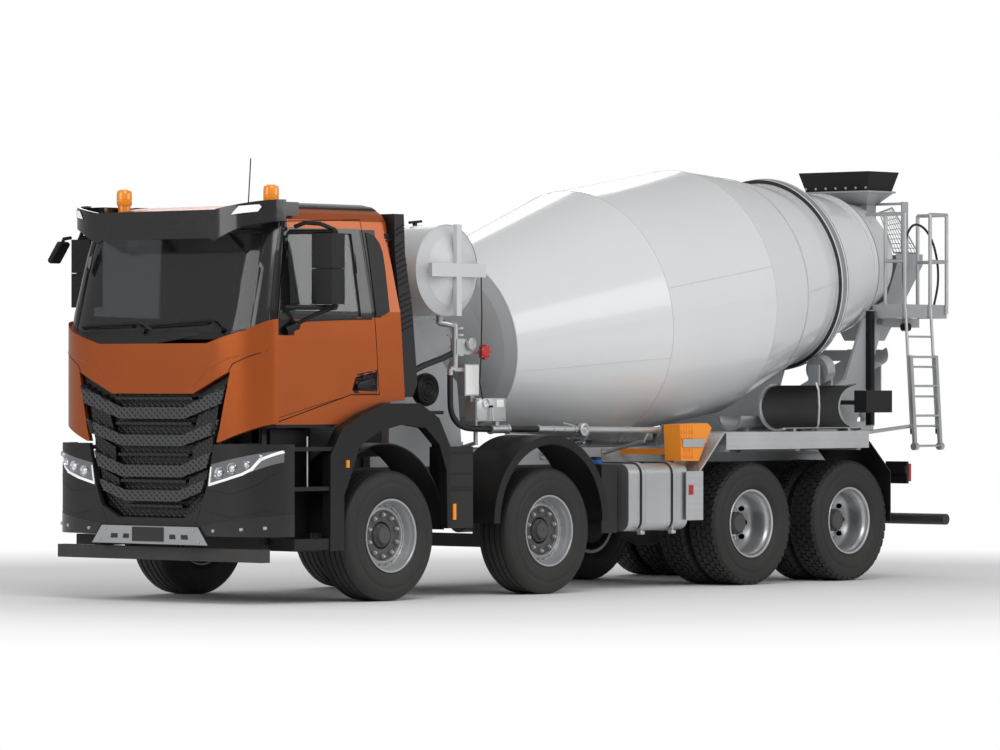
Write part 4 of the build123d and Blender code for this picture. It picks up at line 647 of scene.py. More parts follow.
@dataclass
class Assembly:
    """A part of the truck that makes its own pieces on one body."""

    palette: Palette
    body: str = "chassis"

    def add(
        self, mesh: Shape, name: str, finish: str, body: str | None = None, slot: str | None = None,
        replaces: Sequence[str] = (), smooth: float = 35.0,
    ) -> Piece:
        """Finishes a bmesh as one piece of this assembly.

        Args:
            mesh: The shape.
            name: The piece's name.
            finish: The finish it gets.
            body: The body it rides on, if not the assembly's own.
            slot: The record's material slot; it is not used.
            replaces: The nodes that it stands for.
            smooth: The angle past which an edge stays sharp.

        Returns:
            The piece.
        """
        piece = finished(mesh, name, smooth)
        self.palette.paint(piece, finish)
        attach(piece, body or self.body)
        if replaces:
            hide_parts(*replaces)
        log.info("%s: %d faces on %s", name, len(piece.data.polygons), body or self.body)
        return piece


NODE_FINISHES = {
    "chassis_frame": "chassis_paint",
    "axles": "cast_metal",
    "engine_block": "cast_metal",
    "mixer_frame": "frame_paint",
    "front_pedestal": "pedestal_paint",
    "drum": "drum_paint",
    "roller_left": "bright_steel",
    "roller_right": "bright_steel",
    "water_tank": "tank_paint",
    "cab_shell": "orange_metallic",
    "door_left": "orange_metallic",
    "door_right": "orange_metallic",
    "front_panel": "nose_orange",
    "cab_interior": "seat_cloth",
    "windscreen": "dark_glass",
    "door_glass_left": "side_glass",
    "door_glass_right": "side_glass",
    "mirror_left": "black_plastic",
    "mirror_right": "black_plastic",
    "sun_visor": "gloss_black",
    "grille": "grille_mesh",
    "bumper": "grey_plastic",
    "headlamps": "lamp_housing",
    "lamps": "lamp_lens",
    "mudguards": "black_plastic",
    "snorkel": "grey_plastic",
    "side_boxes": "grey_plastic",
    "fuel_tank": "brushed_aluminium",
    "water_pipework": "bright_steel",
    "hopper": "frame_paint",
    "hopper_guard": "guard_rubber",
    "chute_swivel": "frame_paint",
    "swing_chute": "frame_paint",
    "stored_chutes": "bright_steel",
    "platform": "bright_steel",
    "ladder_lower": "bright_steel",
    "walkways": "chequer_plate",
    "chocks": "chock_orange",
    "platform_hose": "hose_rubber",
    "suction_hose": "hose_rubber",
}


def dress_nodes(nodes: dict[str, Piece], palette: Palette) -> None:
    """Gives every carried-over node its finish.

    Args:
        nodes: The frame's nodes.
        palette: The finishes.
    """
    for name, node in nodes.items():
        if name.startswith("tyre"):
            finish = "tyre_rubber"
        elif name.startswith("rims"):
            finish = "brushed_aluminium"
        elif name.startswith("rim"):
            finish = "rim_paint"
        elif name.startswith("knuckle"):
            finish = "cast_metal"
        else:
            finish = NODE_FINISHES[name]
        palette.paint(node, finish)


# Wheels


class Tread(Enum):
    """The tread that a tyre has."""

    RIB = "rib"
    BLOCK = "block"


@dataclass
class Tyre:
    """One tyre's size, from its outer face inwards."""

    face: float
    width: float
    radius: float
    tread: Tread
    bead_inset: float = 0.019
    bead: float = 0.2843
    groove: float = 0.013
    blocks: int = 44

    def sidewall(self) -> list[Flat]:
        """The profile of one sidewall, from the bead to the shoulder."""
        return [
            (self.bead_inset, self.bead), (self.bead_inset, 0.2985), (self.bead_inset - 0.004, 0.304),
            (self.bead_inset - 0.012, 0.318), (0.004, 0.336), (0.0015, 0.36), (0.0, 0.392), (0.0, 0.416),
            (0.0035, 0.42), (0.004, 0.432), (0.0025, 0.436), (0.006, 0.462), (0.011, self.radius - 0.05),
            (0.013, self.radius - 0.036), (0.022, self.radius - 0.022), (0.036, self.radius - 0.008),
        ]

    def profile(self) -> list[Flat]:
        """The closed profile as (depth from the outer face, radius)."""
        wall = self.sidewall()
        tread = []
        start, end = 0.048, self.width - 0.048
        if self.tread is Tread.RIB:
            tread.append((start, self.radius - 0.001))
            for share in (0.17, 0.39, 0.61, 0.83):
                middle = start + share * (end - start)
                tread += [
                    (middle - 0.007, self.radius), (middle - 0.005, self.radius - self.groove),
                    (middle + 0.005, self.radius - self.groove), (middle + 0.007, self.radius),
                ]
            tread.append((end, self.radius - 0.001))
        else:
            tread += [(start, self.radius - self.groove), (end, self.radius - self.groove)]
        return wall + tread + [(self.width - run, radius) for run, radius in reversed(wall)]

    def build(self, mesh: Shape, side: float, hub: Vector) -> None:
        """Adds the tyre to a bmesh.

        Args:
            mesh: The bmesh.
            side: 1 for left, -1 for right.
            hub: A point on the wheel's axis, whose X is 0.
        """
        turned(
            mesh, [(side * (self.face - run), radius) for run, radius in self.profile()], hub, (1, 0, 0), 72,
            True,
        )
        if self.tread is Tread.BLOCK:
            self.block_rows(mesh, side, hub)

    def block_rows(self, mesh: Shape, side: float, hub: Vector) -> None:
        """Adds four staggered rows of tread blocks and the shoulder lugs.

        Args:
            mesh: The bmesh.
            side: 1 for left, -1 for right.
            hub: A point on the wheel's axis.
        """
        row = (self.width - 0.096) / 4
        pitch = 2 * math.pi / self.blocks
        length = self.radius * pitch - 0.014
        height = self.groove + 0.003
        sizes = [(0.048 + row * (index + 0.5), row - 0.009, height, 0.0, 0.0) for index in range(4)]
        for depth, wide, tall, drop, tilt in sizes + [
            (0.034, 0.034, 0.026, 0.008, 0.55), (self.width - 0.034, 0.034, 0.026, 0.008, -0.55),
        ]:
            stagger = 0.5 if sizes and int(depth / row) % 2 else 0.0
            for index in range(self.blocks):
                spot = (
                    Matrix.Translation(hub)
                    @ Matrix.Rotation((index + stagger) * pitch, 4, "X")
                    @ Matrix.Translation((side * (self.face - depth), 0.0, self.radius - tall / 2 - drop))
                    @ Matrix.Rotation(side * tilt, 4, "Y")
                    @ Matrix.Rotation(0.22 if stagger else -0.22, 4, "Z")
                    @ Matrix.Diagonal((wide, length, tall, 1.0))
                )
                bmesh.ops.create_cube(mesh, size=1.0, matrix=spot)


def cut(piece: Piece, cutter: Shape) -> None:
    """Takes a cutter's shape out of a piece, for good.

    Args:
        piece: The piece.
        cutter: The shape that is taken out, which is freed.
    """
    data = bpy.data.meshes.new("cutter")
    bmesh.ops.recalc_face_normals(cutter, faces=cutter.faces)
    cutter.to_mesh(data)
    cutter.free()
    tool = bpy.data.objects.new("cutter", data)
    bpy.context.scene.collection.objects.link(tool)
    modifier = piece.modifiers.new("cut", "BOOLEAN")
    modifier.operation = "DIFFERENCE"
    modifier.solver = "EXACT"
    modifier.object = tool
    bpy.context.view_layer.update()
    shape = bpy.data.meshes.new_from_object(piece.evaluated_get(bpy.context.evaluated_depsgraph_get()))
    piece.modifiers.clear()
    old = piece.data
    piece.data = shape
    bpy.data.meshes.remove(old)
    bpy.data.objects.remove(tool)
    bpy.data.meshes.remove(data)


@dataclass
class Wheels(Assembly):
    """All twelve tyres on their rims, with discs, nuts and hubs."""

    face: float = 1.248
    front_radius: float = 0.527
    front_width: float = 0.365
    rear_radius: float = 0.535
    rear_width: float = 0.312
    spacing: float = 0.35
    nut_circle: float = 0.1675
    nuts: int = 10

    def build(self) -> None:
        """Makes every wheel."""
        for number, station in enumerate(AXLE_STATIONS, start=1):
            for name, side in SIDES.items():
                y = FRONT_AXLE_Y + station
                if number <= 2:
                    self.front(f"{number}_{name}", side, Vector((0.0, y, FRONT_HUB_Z)))
                else:
                    self.rear(f"{number}_{name}", side, Vector((0.0, y, REAR_HUB_Z)))

    def front(self, label: str, side: float, hub: Vector) -> None:
        """Makes one single front wheel.

        Args:
            label: The wheel's number and side.
            side: 1 for left, -1 for right.
            hub: The axis point at X 0.
        """
        body = f"wheel_{label}"
        mesh = bmesh.new()
        Tyre(self.face, self.front_width, self.front_radius, Tread.RIB).build(mesh, side, hub)
        self.add(mesh, f"tread_{label}", "tyre_rubber", body, "tyre_rubber", (f"tyre_{label}",), 50.0)
        rim = [
            (0.010, 0.2985), (0.006, 0.2965), (0.006, 0.288), (0.012, 0.281), (0.03, 0.277), (0.052, 0.268),
            (0.066, 0.262), (0.09, 0.2595), (0.108, 0.256), (0.113, 0.25), (0.102, 0.232), (0.094, 0.221),
            (0.091, 0.214), (0.095, 0.208), (0.106, 0.204), (0.116, 0.202), (0.13, 0.202), (0.13, 0.245),
            (0.214, 0.245), (0.262, 0.268), (0.34, 0.274), (0.34, 0.2985), (0.332, 0.2985), (0.33, 0.2838),
            (0.26, 0.278), (0.21, 0.258), (0.12, 0.258), (0.06, 0.278), (0.018, 0.2838), (0.016, 0.2985),
        ]
        mesh = bmesh.new()
        turned(mesh, self.placed(rim, side), hub, (1, 0, 0), 72, True)
        piece = self.add(mesh, f"rim_{label}_dressed", "rim_paint", body, "rim_paint", (f"rim_{label}",))
        slots = bmesh.new()
        for index in range(20):
            low, high = (self.spot(hub, side, 18.0 * index + 9.0, depth, 0.2395) for depth in (0.085, 0.16))
            rod(slots, low, high, 0.0085, 10)
        cut(piece, slots)
        disc = [
            (0.118, 0.2), (0.116, 0.194), (0.116, 0.125), (0.12, 0.112), (0.15, 0.106), (0.16, 0.1),
            (0.16, 0.046), (0.292, 0.046), (0.292, 0.205), (0.19, 0.205), (0.19, 0.15), (0.135, 0.17),
            (0.13, 0.2),
        ]
        mesh = bmesh.new()
        turned(mesh, self.placed(disc, side), hub, (1, 0, 0), 60, True)
        self.add(mesh, f"disc_{label}", "rim_centre_paint", body, "rim_paint")
        self.hub_cap(label, side, hub, body)
        self.nut_ring(label, side, hub, body, 0.116, "bright_steel")

    def spot(self, hub: Vector, side: float, degrees: float, depth: float, radius: float) -> Vector:
        """A point by its angle round the hub, its depth behind the outer face and its radius."""
        turn = Matrix.Translation(hub) @ Matrix.Rotation(math.radians(degrees), 4, "X")
        return turn @ Vector((side * (self.face - depth), 0.0, radius))

    def placed(self, profile: Iterable[Flat], side: float) -> list[Flat]:
        """A profile of (depth from the outer face, radius) as places along X."""
        return [(side * (self.face - run), radius) for run, radius in profile]

    def hub_cap(self, label: str, side: float, hub: Vector, body: str) -> None:
        """Makes the recessed cap with its ring of screws.

        Args:
            label: The wheel's number and side.
            side: 1 for left, -1 for right.
            hub: The axis point at X 0.
            body: The body it rides on.
        """
        cap = [
            (0.155, 0.098), (0.118, 0.096), (0.11, 0.09), (0.11, 0.078), (0.1, 0.072), (0.084, 0.068),
            (0.078, 0.06), (0.078, 0.018), (0.082, 0.014), (0.082, 0.0),
        ]
        mesh = bmesh.new()
        turned(mesh, self.placed(cap, side), hub, (1, 0, 0), 40)
        for index in range(8):
            start, end = (self.spot(hub, side, 45.0 * index, depth, 0.0835) for depth in (0.112, 0.103))
            rod(mesh, start, end, 0.0065, 6)
        self.add(mesh, f"hub_cap_{label}", "cast_metal", body, "chassis_paint")

    def nut_ring(self, label: str, side: float, hub: Vector, body: str, depth: float, finish: str) -> None:
        """Makes the wheel nuts on their washers.

        Args:
            label: The wheel's number and side.
            side: 1 for left, -1 for right.
            hub: The axis point at X 0.
            body: The body it rides on.
            depth: How far the disc's face is behind the tyre's.
            finish: The nuts' finish.
        """
        nuts, seats = bmesh.new(), bmesh.new()
        for index in range(self.nuts):
            turn = Matrix.Translation(hub) @ Matrix.Rotation(2 * math.pi * index / self.nuts, 4, "X")
            face = self.face - depth
            foot = turn @ Vector((side * (face - 0.002), 0.0, self.nut_circle))
            rod(seats, foot, turn @ Vector((side * (face + 0.003), 0.0, self.nut_circle)), 0.0235, 20)
            rod(nuts, foot, turn @ Vector((side * (face + 0.022), 0.0, self.nut_circle)), 0.0165, 6)
            top = turn @ Vector((side * (face + 0.036), 0.0, self.nut_circle))
            rod(nuts, foot, top, 0.0105, 12)
        self.add(nuts, f"nuts_{label}", finish, body, "rim_paint")
        self.add(seats, f"nut_seats_{label}", "cast_metal", body, "rim_paint")

    def rear(self, label: str, side: float, hub: Vector) -> None:
        """Makes one pair of twin wheels.

        Args:
            label: The axle's number and side.
            side: 1 for left, -1 for right.
            hub: The axis point at X 0.
        """
        body = f"wheels_{label}"
        mesh = bmesh.new()
        for shift in (0.0, self.spacing):
            Tyre(
                self.face - shift, self.rear_width, self.rear_radius, Tread.BLOCK, 0.033,
            ).build(mesh, side, hub)
        self.add(mesh, f"treads_{label}", "tyre_rubber", body, "tyre_rubber", (f"tyres_{label}",), 50.0)
        dish = [
            (0.026, 0.2985), (0.022, 0.2955), (0.022, 0.286), (0.028, 0.279), (0.05, 0.2745), (0.062, 0.27),
            (0.072, 0.262), (0.084, 0.2565), (0.13, 0.2535), (0.19, 0.2515), (0.216, 0.246), (0.232, 0.236),
            (0.268, 0.212), (0.3, 0.188), (0.314, 0.179), (0.319, 0.172), (0.319, 0.1085), (0.331, 0.1085),
            (0.331, 0.17), (0.324, 0.184), (0.28, 0.22), (0.24, 0.25), (0.288, 0.272), (0.29, 0.2985),
            (0.282, 0.2985), (0.28, 0.2838), (0.22, 0.276), (0.19, 0.258), (0.122, 0.258), (0.092, 0.276),
            (0.032, 0.2838), (0.03, 0.2985),
        ]
        mesh = bmesh.new()
        turned(mesh, self.placed(dish, side), hub, (1, 0, 0), 72, True)
        outer_face = self.face - self.spacing
        inner = [
            (0.022, 0.2985), (0.022, 0.272), (0.112, 0.25), (0.2, 0.25), (0.29, 0.272), (0.29, 0.2985),
            (0.282, 0.2985), (0.28, 0.2838), (0.22, 0.276), (0.19, 0.258), (0.122, 0.258), (0.092, 0.276),
            (0.032, 0.2838), (0.03, 0.2985),
        ]
        turned(mesh, [(side * (outer_face - run), r) for run, r in inner], hub, (1, 0, 0), 60, True)
        back = [(0.336, 0.2515), (0.336, 0.12), (0.346, 0.12), (0.346, 0.245), (0.46, 0.2515), (0.46, 0.255)]
        turned(mesh, self.placed(back, side), hub, (1, 0, 0), 60, True)
        piece = self.add(
            mesh, f"rims_{label}_dressed", "brushed_aluminium", body, "bare_aluminium", (f"rims_{label}",),
        )
        holes = bmesh.new()
        for index in range(10):
            inside = self.spot(hub, side, 36.0 * index + 18.0, 0.235, 0.14)
            outside = self.spot(hub, side, 36.0 * index + 18.0, 0.295, 0.245)
            rod(holes, inside, outside, 0.027, 20)
        cut(piece, holes)
        hub_end = [
            (0.64, 0.046), (0.64, 0.205), (0.51, 0.205), (0.508, 0.14), (0.33, 0.12), (0.26, 0.1),
            (0.19, 0.098),
            (0.178, 0.094), (0.176, 0.088), (0.16, 0.085), (0.15, 0.075), (0.148, 0.0),
        ]
        mesh = bmesh.new()
        turned(mesh, self.placed(hub_end, side), hub, (1, 0, 0), 40)
        for index in range(10):
            start = self.spot(hub, side, 36.0 * index, 0.18, 0.091)
            rod(mesh, start, start + Vector((side * 0.012, 0.0, 0.0)), 0.0075, 6)
        self.add(mesh, f"hub_end_{label}", "cast_metal", body, "chassis_paint")
        self.nut_ring(label, side, hub, body, 0.319, "bright_steel")


# Trim that follows the cab's surfaces


BACKWARD = Vector((0.0, 1.0, 0.0))
DOWN = Vector((0.0, 0.0, -1.0))
AHEAD_Y = -6.0
BESIDE_X = 2.0


def from_front(points: Iterable[Flat], side: float = 1.0) -> tuple[list[Vector], Vector]:
    """(x, z) millimetres on one side as points ahead of the truck, and the way back to it."""
    return [Vector((side * x / 1000.0, AHEAD_Y, z / 1000.0)) for x, z in points], BACKWARD


def from_side(points: Iterable[Flat], side: float = 1.0) -> tuple[list[Vector], Vector]:
    """(station, z) millimetres as points beside the truck, and the way in to it."""
    return [
        Vector((side * BESIDE_X, at(station), z / 1000.0)) for station, z in points
    ], Vector((-side, 0.0, 0.0))


class Skin:
    """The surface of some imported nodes, that trim is laid on."""

    def __init__(self, nodes: dict[str, Piece], names: Sequence[str]) -> None:
        """Reads the nodes' faces.

        Args:
            nodes: The frame's nodes.
            names: The nodes that the trim lies on.
        """
        joined = bmesh.new()
        for name in names:
            joined.from_mesh(nodes[name].data)
        self.tree = BVHTree.FromBMesh(joined)
        joined.free()

    def hit(self, start: Vector, toward: Vector) -> Vector | None:
        """Where a ray from a point first meets the surface, or None."""
        return self.tree.ray_cast(start, toward)[0]

    def met_from_front(self, x: float, z: float) -> Vector | None:
        """Where the surface is first met from the front, at X and Z in millimetres, or None."""
        return self.hit(Vector((x / 1000.0, AHEAD_Y, z / 1000.0)), BACKWARD)

    def lay(
        self, mesh: Shape, outline: Sequence[Vector], toward: Vector, thickness: float,
        lift: float = 0.0005, step: float = 0.03,
    ) -> None:
        """Lays a plate of even thickness on the surface.

        Args:
            mesh: The bmesh that the plate is added to.
            outline: The plate's outline, in a plane in front of the surface.
            toward: The way from that plane to the surface.
            thickness: The plate's thickness.
            lift: The gap under the plate.
            step: The size of its facets.
        """
        sheet = bmesh.new()
        sheet.faces.new([sheet.verts.new(point) for point in outline])
        across = [
            axis for axis in (Vector((1, 0, 0)), Vector((0, 1, 0)),
            Vector((0, 0, 1))) if abs(axis @ toward) < 0.5
        ]
        for axis in across:
            places = [vert.co @ axis for vert in sheet.verts]
            cuts = max(1, round((max(places) - min(places)) / step))
            for index in range(1, cuts):
                run = min(places) + (max(places) - min(places)) * index / cuts
                everything = sheet.verts[:] + sheet.edges[:] + sheet.faces[:]
                bmesh.ops.bisect_plane(sheet, geom=everything, plane_co=axis * run, plane_no=axis)
        missed = []
        for vert in sheet.verts:
            met = self.hit(vert.co, toward)
            if met is None:
                missed.append(vert)
            else:
                vert.co = met - toward * (lift + thickness)
        bmesh.ops.delete(sheet, geom=missed, context="VERTS")
        bmesh.ops.translate(sheet, verts=extruded(sheet, sheet.faces[:]), vec=toward * thickness)
        bmesh.ops.recalc_face_normals(sheet, faces=sheet.faces)
        data = bpy.data.meshes.new("sheet")
        sheet.to_mesh(data)
        sheet.free()
        mesh.from_mesh(data)
        bpy.data.meshes.remove(data)

    def strip(
        self, mesh: Shape, route: Sequence[Vector], toward: Vector, width: float, thickness: float,
        lift: float = 0.0005,
    ) -> None:
        """Lays a narrow strip along a route.

        Args:
            mesh: The bmesh that the strip is added to.
            route: Points in a plane in front of the surface.
            toward: The way from that plane to the surface.
            width: The strip's width.
            thickness: Its thickness.
            lift: The gap under it.
        """
        for start, end in zip(route, route[1:]):
            run = (end - start).normalized()
            side = run.cross(toward).normalized() * width / 2
            over = run * width / 2
            outline = [start - side - over, end - side + over, end + side + over, start + side - over]
            self.lay(mesh, outline, toward, thickness, lift)


@dataclass
class Dressing(Assembly):
    """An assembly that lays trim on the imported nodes."""

    nodes: dict[str, Piece] | None = None

    def skin(self, *names: str) -> Skin:
        """The surface of the named nodes."""
        return Skin(self.nodes, names)


# Cab


@dataclass
class CabTrim(Dressing):
    """Glazing frames, cowl, wipers, panel lines, lamps and handles of the cab."""

    trim_thickness: float = 0.004

    def build(self) -> None:
        """Makes all of the cab's trim."""
        self.front_skin = self.skin("cab_shell", "windscreen")
        self.nose_skin = self.skin("front_panel")
        self.side_skin = self.skin("cab_shell", "door_left", "door_right")
        self.linings()
        self.screen_frame()
        self.cowl()
        self.wipers()
        self.nose_lines()
        for name, side in SIDES.items():
            self.door_frame(name, side)
            self.pillar_panel(name, side)
            self.handle(name, side)
            self.panel_lines(name, side)
            self.roof_rail(name, side)
        self.visor_lamps()
        self.beacons()
        self.kerb_mirror()
        for name, side in SIDES.items():
            self.mirror_faces(name, side)

    def linings(self) -> None:
        """Lines the inside of the cab and its doors in dark trim."""
        inside = Vector((0.0, at(-450.0), 2.3))
        for node, body in (
            ("cab_shell", "chassis"), ("door_left", "door_left_body"), ("door_right", "door_right_body"),
        ):
            mesh = bmesh.new()
            mesh.from_mesh(self.nodes[node].data)
            bmesh.ops.remove_doubles(mesh, verts=mesh.verts, dist=0.0001)
            target = inside if node == "cab_shell" else Vector((0.0, at(-650.0), 2.3))
            outer = [
                face for face in mesh.faces
                if face.normal.dot((target - face.calc_center_median()).normalized()) < 0.25
            ]
            bmesh.ops.delete(mesh, geom=outer, context="FACES")
            normals = {vert: vert.normal.copy() for vert in mesh.verts}
            for vert, normal in normals.items():
                vert.co += normal * 0.0015
            for vert in extruded(mesh, mesh.faces[:]):
                vert.co += (target - vert.co).normalized() * 0.004
            self.add(mesh, f"lining_{node}", "seat_cloth", body, "cab_trim")

    def screen_frame(self) -> None:
        """Makes the black band round the windscreen and down the front pillars."""
        mesh = bmesh.new()
        for side in (1.0, -1.0):
            band = [(985, 2160), (945, 2955), (1052, 2985), (1116, 2230), (1122, 2150)]
            self.front_skin.lay(mesh, *from_front(band, side), self.trim_thickness)
        top = [(-1052, 2945), (-1040, 3075), (1040, 3075), (1052, 2945)]
        self.front_skin.lay(mesh, *from_front(top), self.trim_thickness)
        self.add(mesh, "screen_frame", "gloss_black", slot="black_plastic")

    def cowl(self) -> None:
        """Makes the cowl between the windscreen and the nose panel."""
        mesh = bmesh.new()
        upper, lower = [], []
        top_line = (
            (-1135, 2205), (-1000, 2178), (-600, 2172), (0, 2172), (600, 2172), (1000, 2178), (1135, 2205),
        )
        low_line = (
            (-1135, 2195), (-950, 2130), (-603, 2068), (0, 2066), (620, 2085), (950, 2140), (1135, 2195),
        )
        for (top_x, top_z), (low_x, low_z) in zip(top_line, low_line):
            high = self.front_skin.met_from_front(top_x, top_z)
            low = self.nose_skin.met_from_front(low_x, low_z - 12.0)
            if high is None:
                high = Vector((top_x / 1000.0, at(-1300.0), top_z / 1000.0))
            if low is None:
                low = high + Vector((0.0, -0.02, -0.03))
            upper.append(mesh.verts.new(high + Vector((0.0, -0.008, 0.0))))
            lower.append(mesh.verts.new(low + Vector((0.0, 0.012, 0.01))))
        edges = [mesh.edges.new(pair) for line in (upper, lower) for pair in zip(line, line[1:])]
        bmesh.ops.bridge_loops(mesh, edges=edges)
        bmesh.ops.subdivide_edges(mesh, edges=mesh.edges[:], cuts=2, use_grid_fill=True)
        bmesh.ops.translate(mesh, verts=extruded(mesh, mesh.faces[:]), vec=(0.0, 0.006, -0.004))
        self.add(mesh, "cowl", "grey_plastic", slot="grey_plastic")

    def wipers(self) -> None:
        """Makes the two wipers at rest along the glass's lower edge."""
        mesh = bmesh.new()
        for pivot, elbow, tip in (
            ((-150, 2170), (-240, 2232), (-880, 2208)), ((720, 2170), (600, 2252), (-90, 2214)),
        ):
            spots = []
            for x, z in (pivot, elbow, tip):
                met = self.front_skin.met_from_front(x, max(z, 2175))
                spots.append(Vector((x / 1000.0, met.y - 0.03, z / 1000.0)))
            tube(mesh, spots, 0.0085, 8)
            rod(mesh, spots[0] + Vector((0.0, 0.05, 0.0)), spots[0] - Vector((0.0, 0.012, 0.0)), 0.022, 16)
            middle = spots[1].lerp(spots[2], 0.55)
            blade_start = middle.lerp(spots[2], -1.05) + Vector((0.0, 0.016, -0.022))
            blade_end = spots[2] + Vector((0.0, 0.016, -0.012))
            tube(
                mesh, (blade_start, (blade_start + blade_end) / 2 + Vector((0.0, -0.006, 0.0)), blade_end),
                0.009, 8,
            )
            for share in (0.2, 0.5, 0.8):
                spot = blade_start.lerp(blade_end, share)
                rod(mesh, spot, spot + Vector((0.0, -0.018, 0.018)), 0.008, 8)
        self.add(mesh, "wipers", "black_plastic", slot="black_plastic")

    def nose_lines(self) -> None:
        """Makes the shut lines of the nose panel and its cheeks."""
        mesh = bmesh.new()
        for side in (1.0, -1.0):
            line = [
                (1150, 2012), (1025, 1968), (880, 1905), (800, 1790), (752, 1650), (735, 1500), (710, 1330),
            ]
            self.nose_skin.strip(mesh, *from_front(line, side), 0.007, 0.0012)
        self.add(mesh, "nose_lines", "black_plastic", slot="black_plastic", smooth=60.0)
        self.crease()

    def crease(self) -> None:
        """Makes the raised line that runs down each side of the nose panel to the grille."""
        mesh = bmesh.new()
        for side in (1.0, -1.0):
            line = [
                (1120, 2003), (1038, 1985), (900, 1958), (797, 1935), (700, 1897), (609, 1859), (550, 1806),
                (500, 1755), (478, 1722),
            ]
            found = [self.nose_skin.met_from_front(side * x, z) for x, z in line]
            rail = [met + Vector((0.0, 0.003, 0.0)) for met in found if met is not None]
            for start, end in zip(rail, rail[1:]):
                rod(mesh, start, end, 0.0085, 10)
                ball(mesh, end, 0.0085)
        self.add(mesh, "nose_crease", "orange_metallic", slot="cab_paint")

    def door_frame(self, name: str, side: float) -> None:
        """Makes the black frame and seal round a door's glass.

        Args:
            name: left or right.
            side: 1 for left, -1 for right.
        """
        mesh = bmesh.new()
        inner = [(-1078, 2300), (-262, 2290), (-300, 2950), (-1030, 2940)]
        outer = [(-1200, 2255), (-130, 2262), (-205, 2990), (-1075, 2982)]
        for index in range(4):
            after = (index + 1) % 4
            band = [outer[index], outer[after], inner[after], inner[index]]
            self.side_skin.lay(mesh, *from_side(band, side), 0.003)
        self.add(mesh, f"door_frame_{name}", "gloss_black", f"door_{name}_body", "black_plastic")
        mesh = bmesh.new()
        for start, end in zip(inner, inner[1:] + inner[:1]):
            self.side_skin.strip(mesh, *from_side((start, end), side), 0.02, 0.007)
        self.add(mesh, f"door_seal_{name}", "guard_rubber", f"door_{name}_body", "soft_rubber")
        mesh = bmesh.new()
        rail = [(-1060, 2240), (-500, 2262), (-150, 2270)]
        for start, end in zip(rail, rail[1:]):
            self.side_skin.strip(mesh, *from_side((start, end), side), 0.014, 0.006, 0.002)
        self.add(mesh, f"waist_strip_{name}", "black_plastic", f"door_{name}_body", "black_plastic")

    def pillar_panel(self, name: str, side: float) -> None:
        """Makes the dark panel behind a door's glass."""
        mesh = bmesh.new()
        panel = [
            (-85, 2292), (0, 2298), (75, 2330), (62, 2660), (48, 2800), (20, 2880), (-40, 2942), (-130, 2962),
        ]
        self.side_skin.lay(mesh, *from_side(panel, side), 0.006)
        self.add(mesh, f"pillar_panel_{name}", "grey_plastic", slot="grey_plastic")

    def handle(self, name: str, side: float) -> None:
        """Makes a door's handle in its recess.

        Args:
            name: left or right.
            side: 1 for left, -1 for right.
        """
        mesh = bmesh.new()
        cup = [(-362, 1698), (-332, 1672), (-72, 1672), (-72, 1858), (-300, 1826)]
        self.side_skin.lay(mesh, *from_side(cup, side), 0.003, step=0.02)
        self.add(mesh, f"handle_cup_{name}", "black_plastic", f"door_{name}_body", "black_plastic")
        mesh = bmesh.new()
        grip = [(-322, 1712), (-250, 1706), (-108, 1744), (-116, 1794), (-288, 1766)]
        plate(mesh, [mm(side * 1146.0, station, z) for station, z in grip], (side * 0.018, 0.0, 0.0), 0.006)
        self.add(mesh, f"handle_{name}", "black_plastic", f"door_{name}_body", "black_plastic")

    def panel_lines(self, name: str, side: float) -> None:
        """Makes the pressed line along a door's foot."""
        mesh = bmesh.new()
        line = [(-1195, 1482), (-800, 1570), (-380, 1660)]
        for start, end in zip(line, line[1:]):
            self.side_skin.strip(mesh, *from_side((start, end), side), 0.005, 0.0012)
        self.add(
            mesh, f"door_line_{name}", "black_plastic", f"door_{name}_body", "black_plastic", smooth=60.0,
        )

    def roof_rail(self, name: str, side: float) -> None:
        """Makes the black strip along a roof edge."""
        mesh = bmesh.new()
        outline = [
            mm(side * x, station, 5000.0) for x, station in ((905, -930), (990, -930), (985, 95), (900, 95))
        ]
        self.front_skin.lay(mesh, outline, DOWN, 0.014)
        self.add(mesh, f"roof_rail_{name}", "black_plastic", slot="black_plastic")

    def visor_lamps(self) -> None:
        """Makes the two blank oblong lamps in the visor."""
        skin = self.skin("sun_visor")
        for kind, grow, thickness, finish in (
            ("lens", 0.0, 0.012, "lamp_white"), ("bezel", 7.0, 0.006, "gloss_black"),
        ):
            mesh = bmesh.new()
            for side in (1.0, -1.0):
                lens = [(845 - grow, 3082 - grow), (905 - grow, 3148 + grow), (1040 + grow, 3160 + grow),
                        (1050 + grow, 3140), (1030 + grow, 3104 - grow)]
                skin.lay(mesh, *from_front(lens, side), thickness, step=0.02)
            self.add(mesh, f"visor_{kind}", finish, slot="clear_lamp" if kind == "lens" else "black_plastic")

    def beacons(self) -> None:
        """Makes the two beacons on their stems."""
        lens, base = bmesh.new(), bmesh.new()
        for side in (1.0, -1.0):
            foot = mm(side * 835.0, -970.0, 3170.0)
            up = (0.0, 0.0, 1.0)
            turned(
                base, ((-0.02, 0.04), (0.0, 0.04), (0.012, 0.05), (0.02, 0.052), (0.03, 0.052), (0.034, 0.0)),
                foot, up, 32,
            )
            body = [(0.03, 0.0), (0.03, 0.058), (0.036, 0.062), (0.07, 0.063), (0.074, 0.06), (0.078, 0.063),
                    (0.13, 0.062), (0.152, 0.055), (0.158, 0.045), (0.16, 0.0)]
            turned(lens, body, foot, up, 40)
        self.add(lens, "beacon_lenses", "amber_lens", slot="amber_lamp")
        self.add(base, "beacon_feet", "black_plastic", slot="black_plastic")

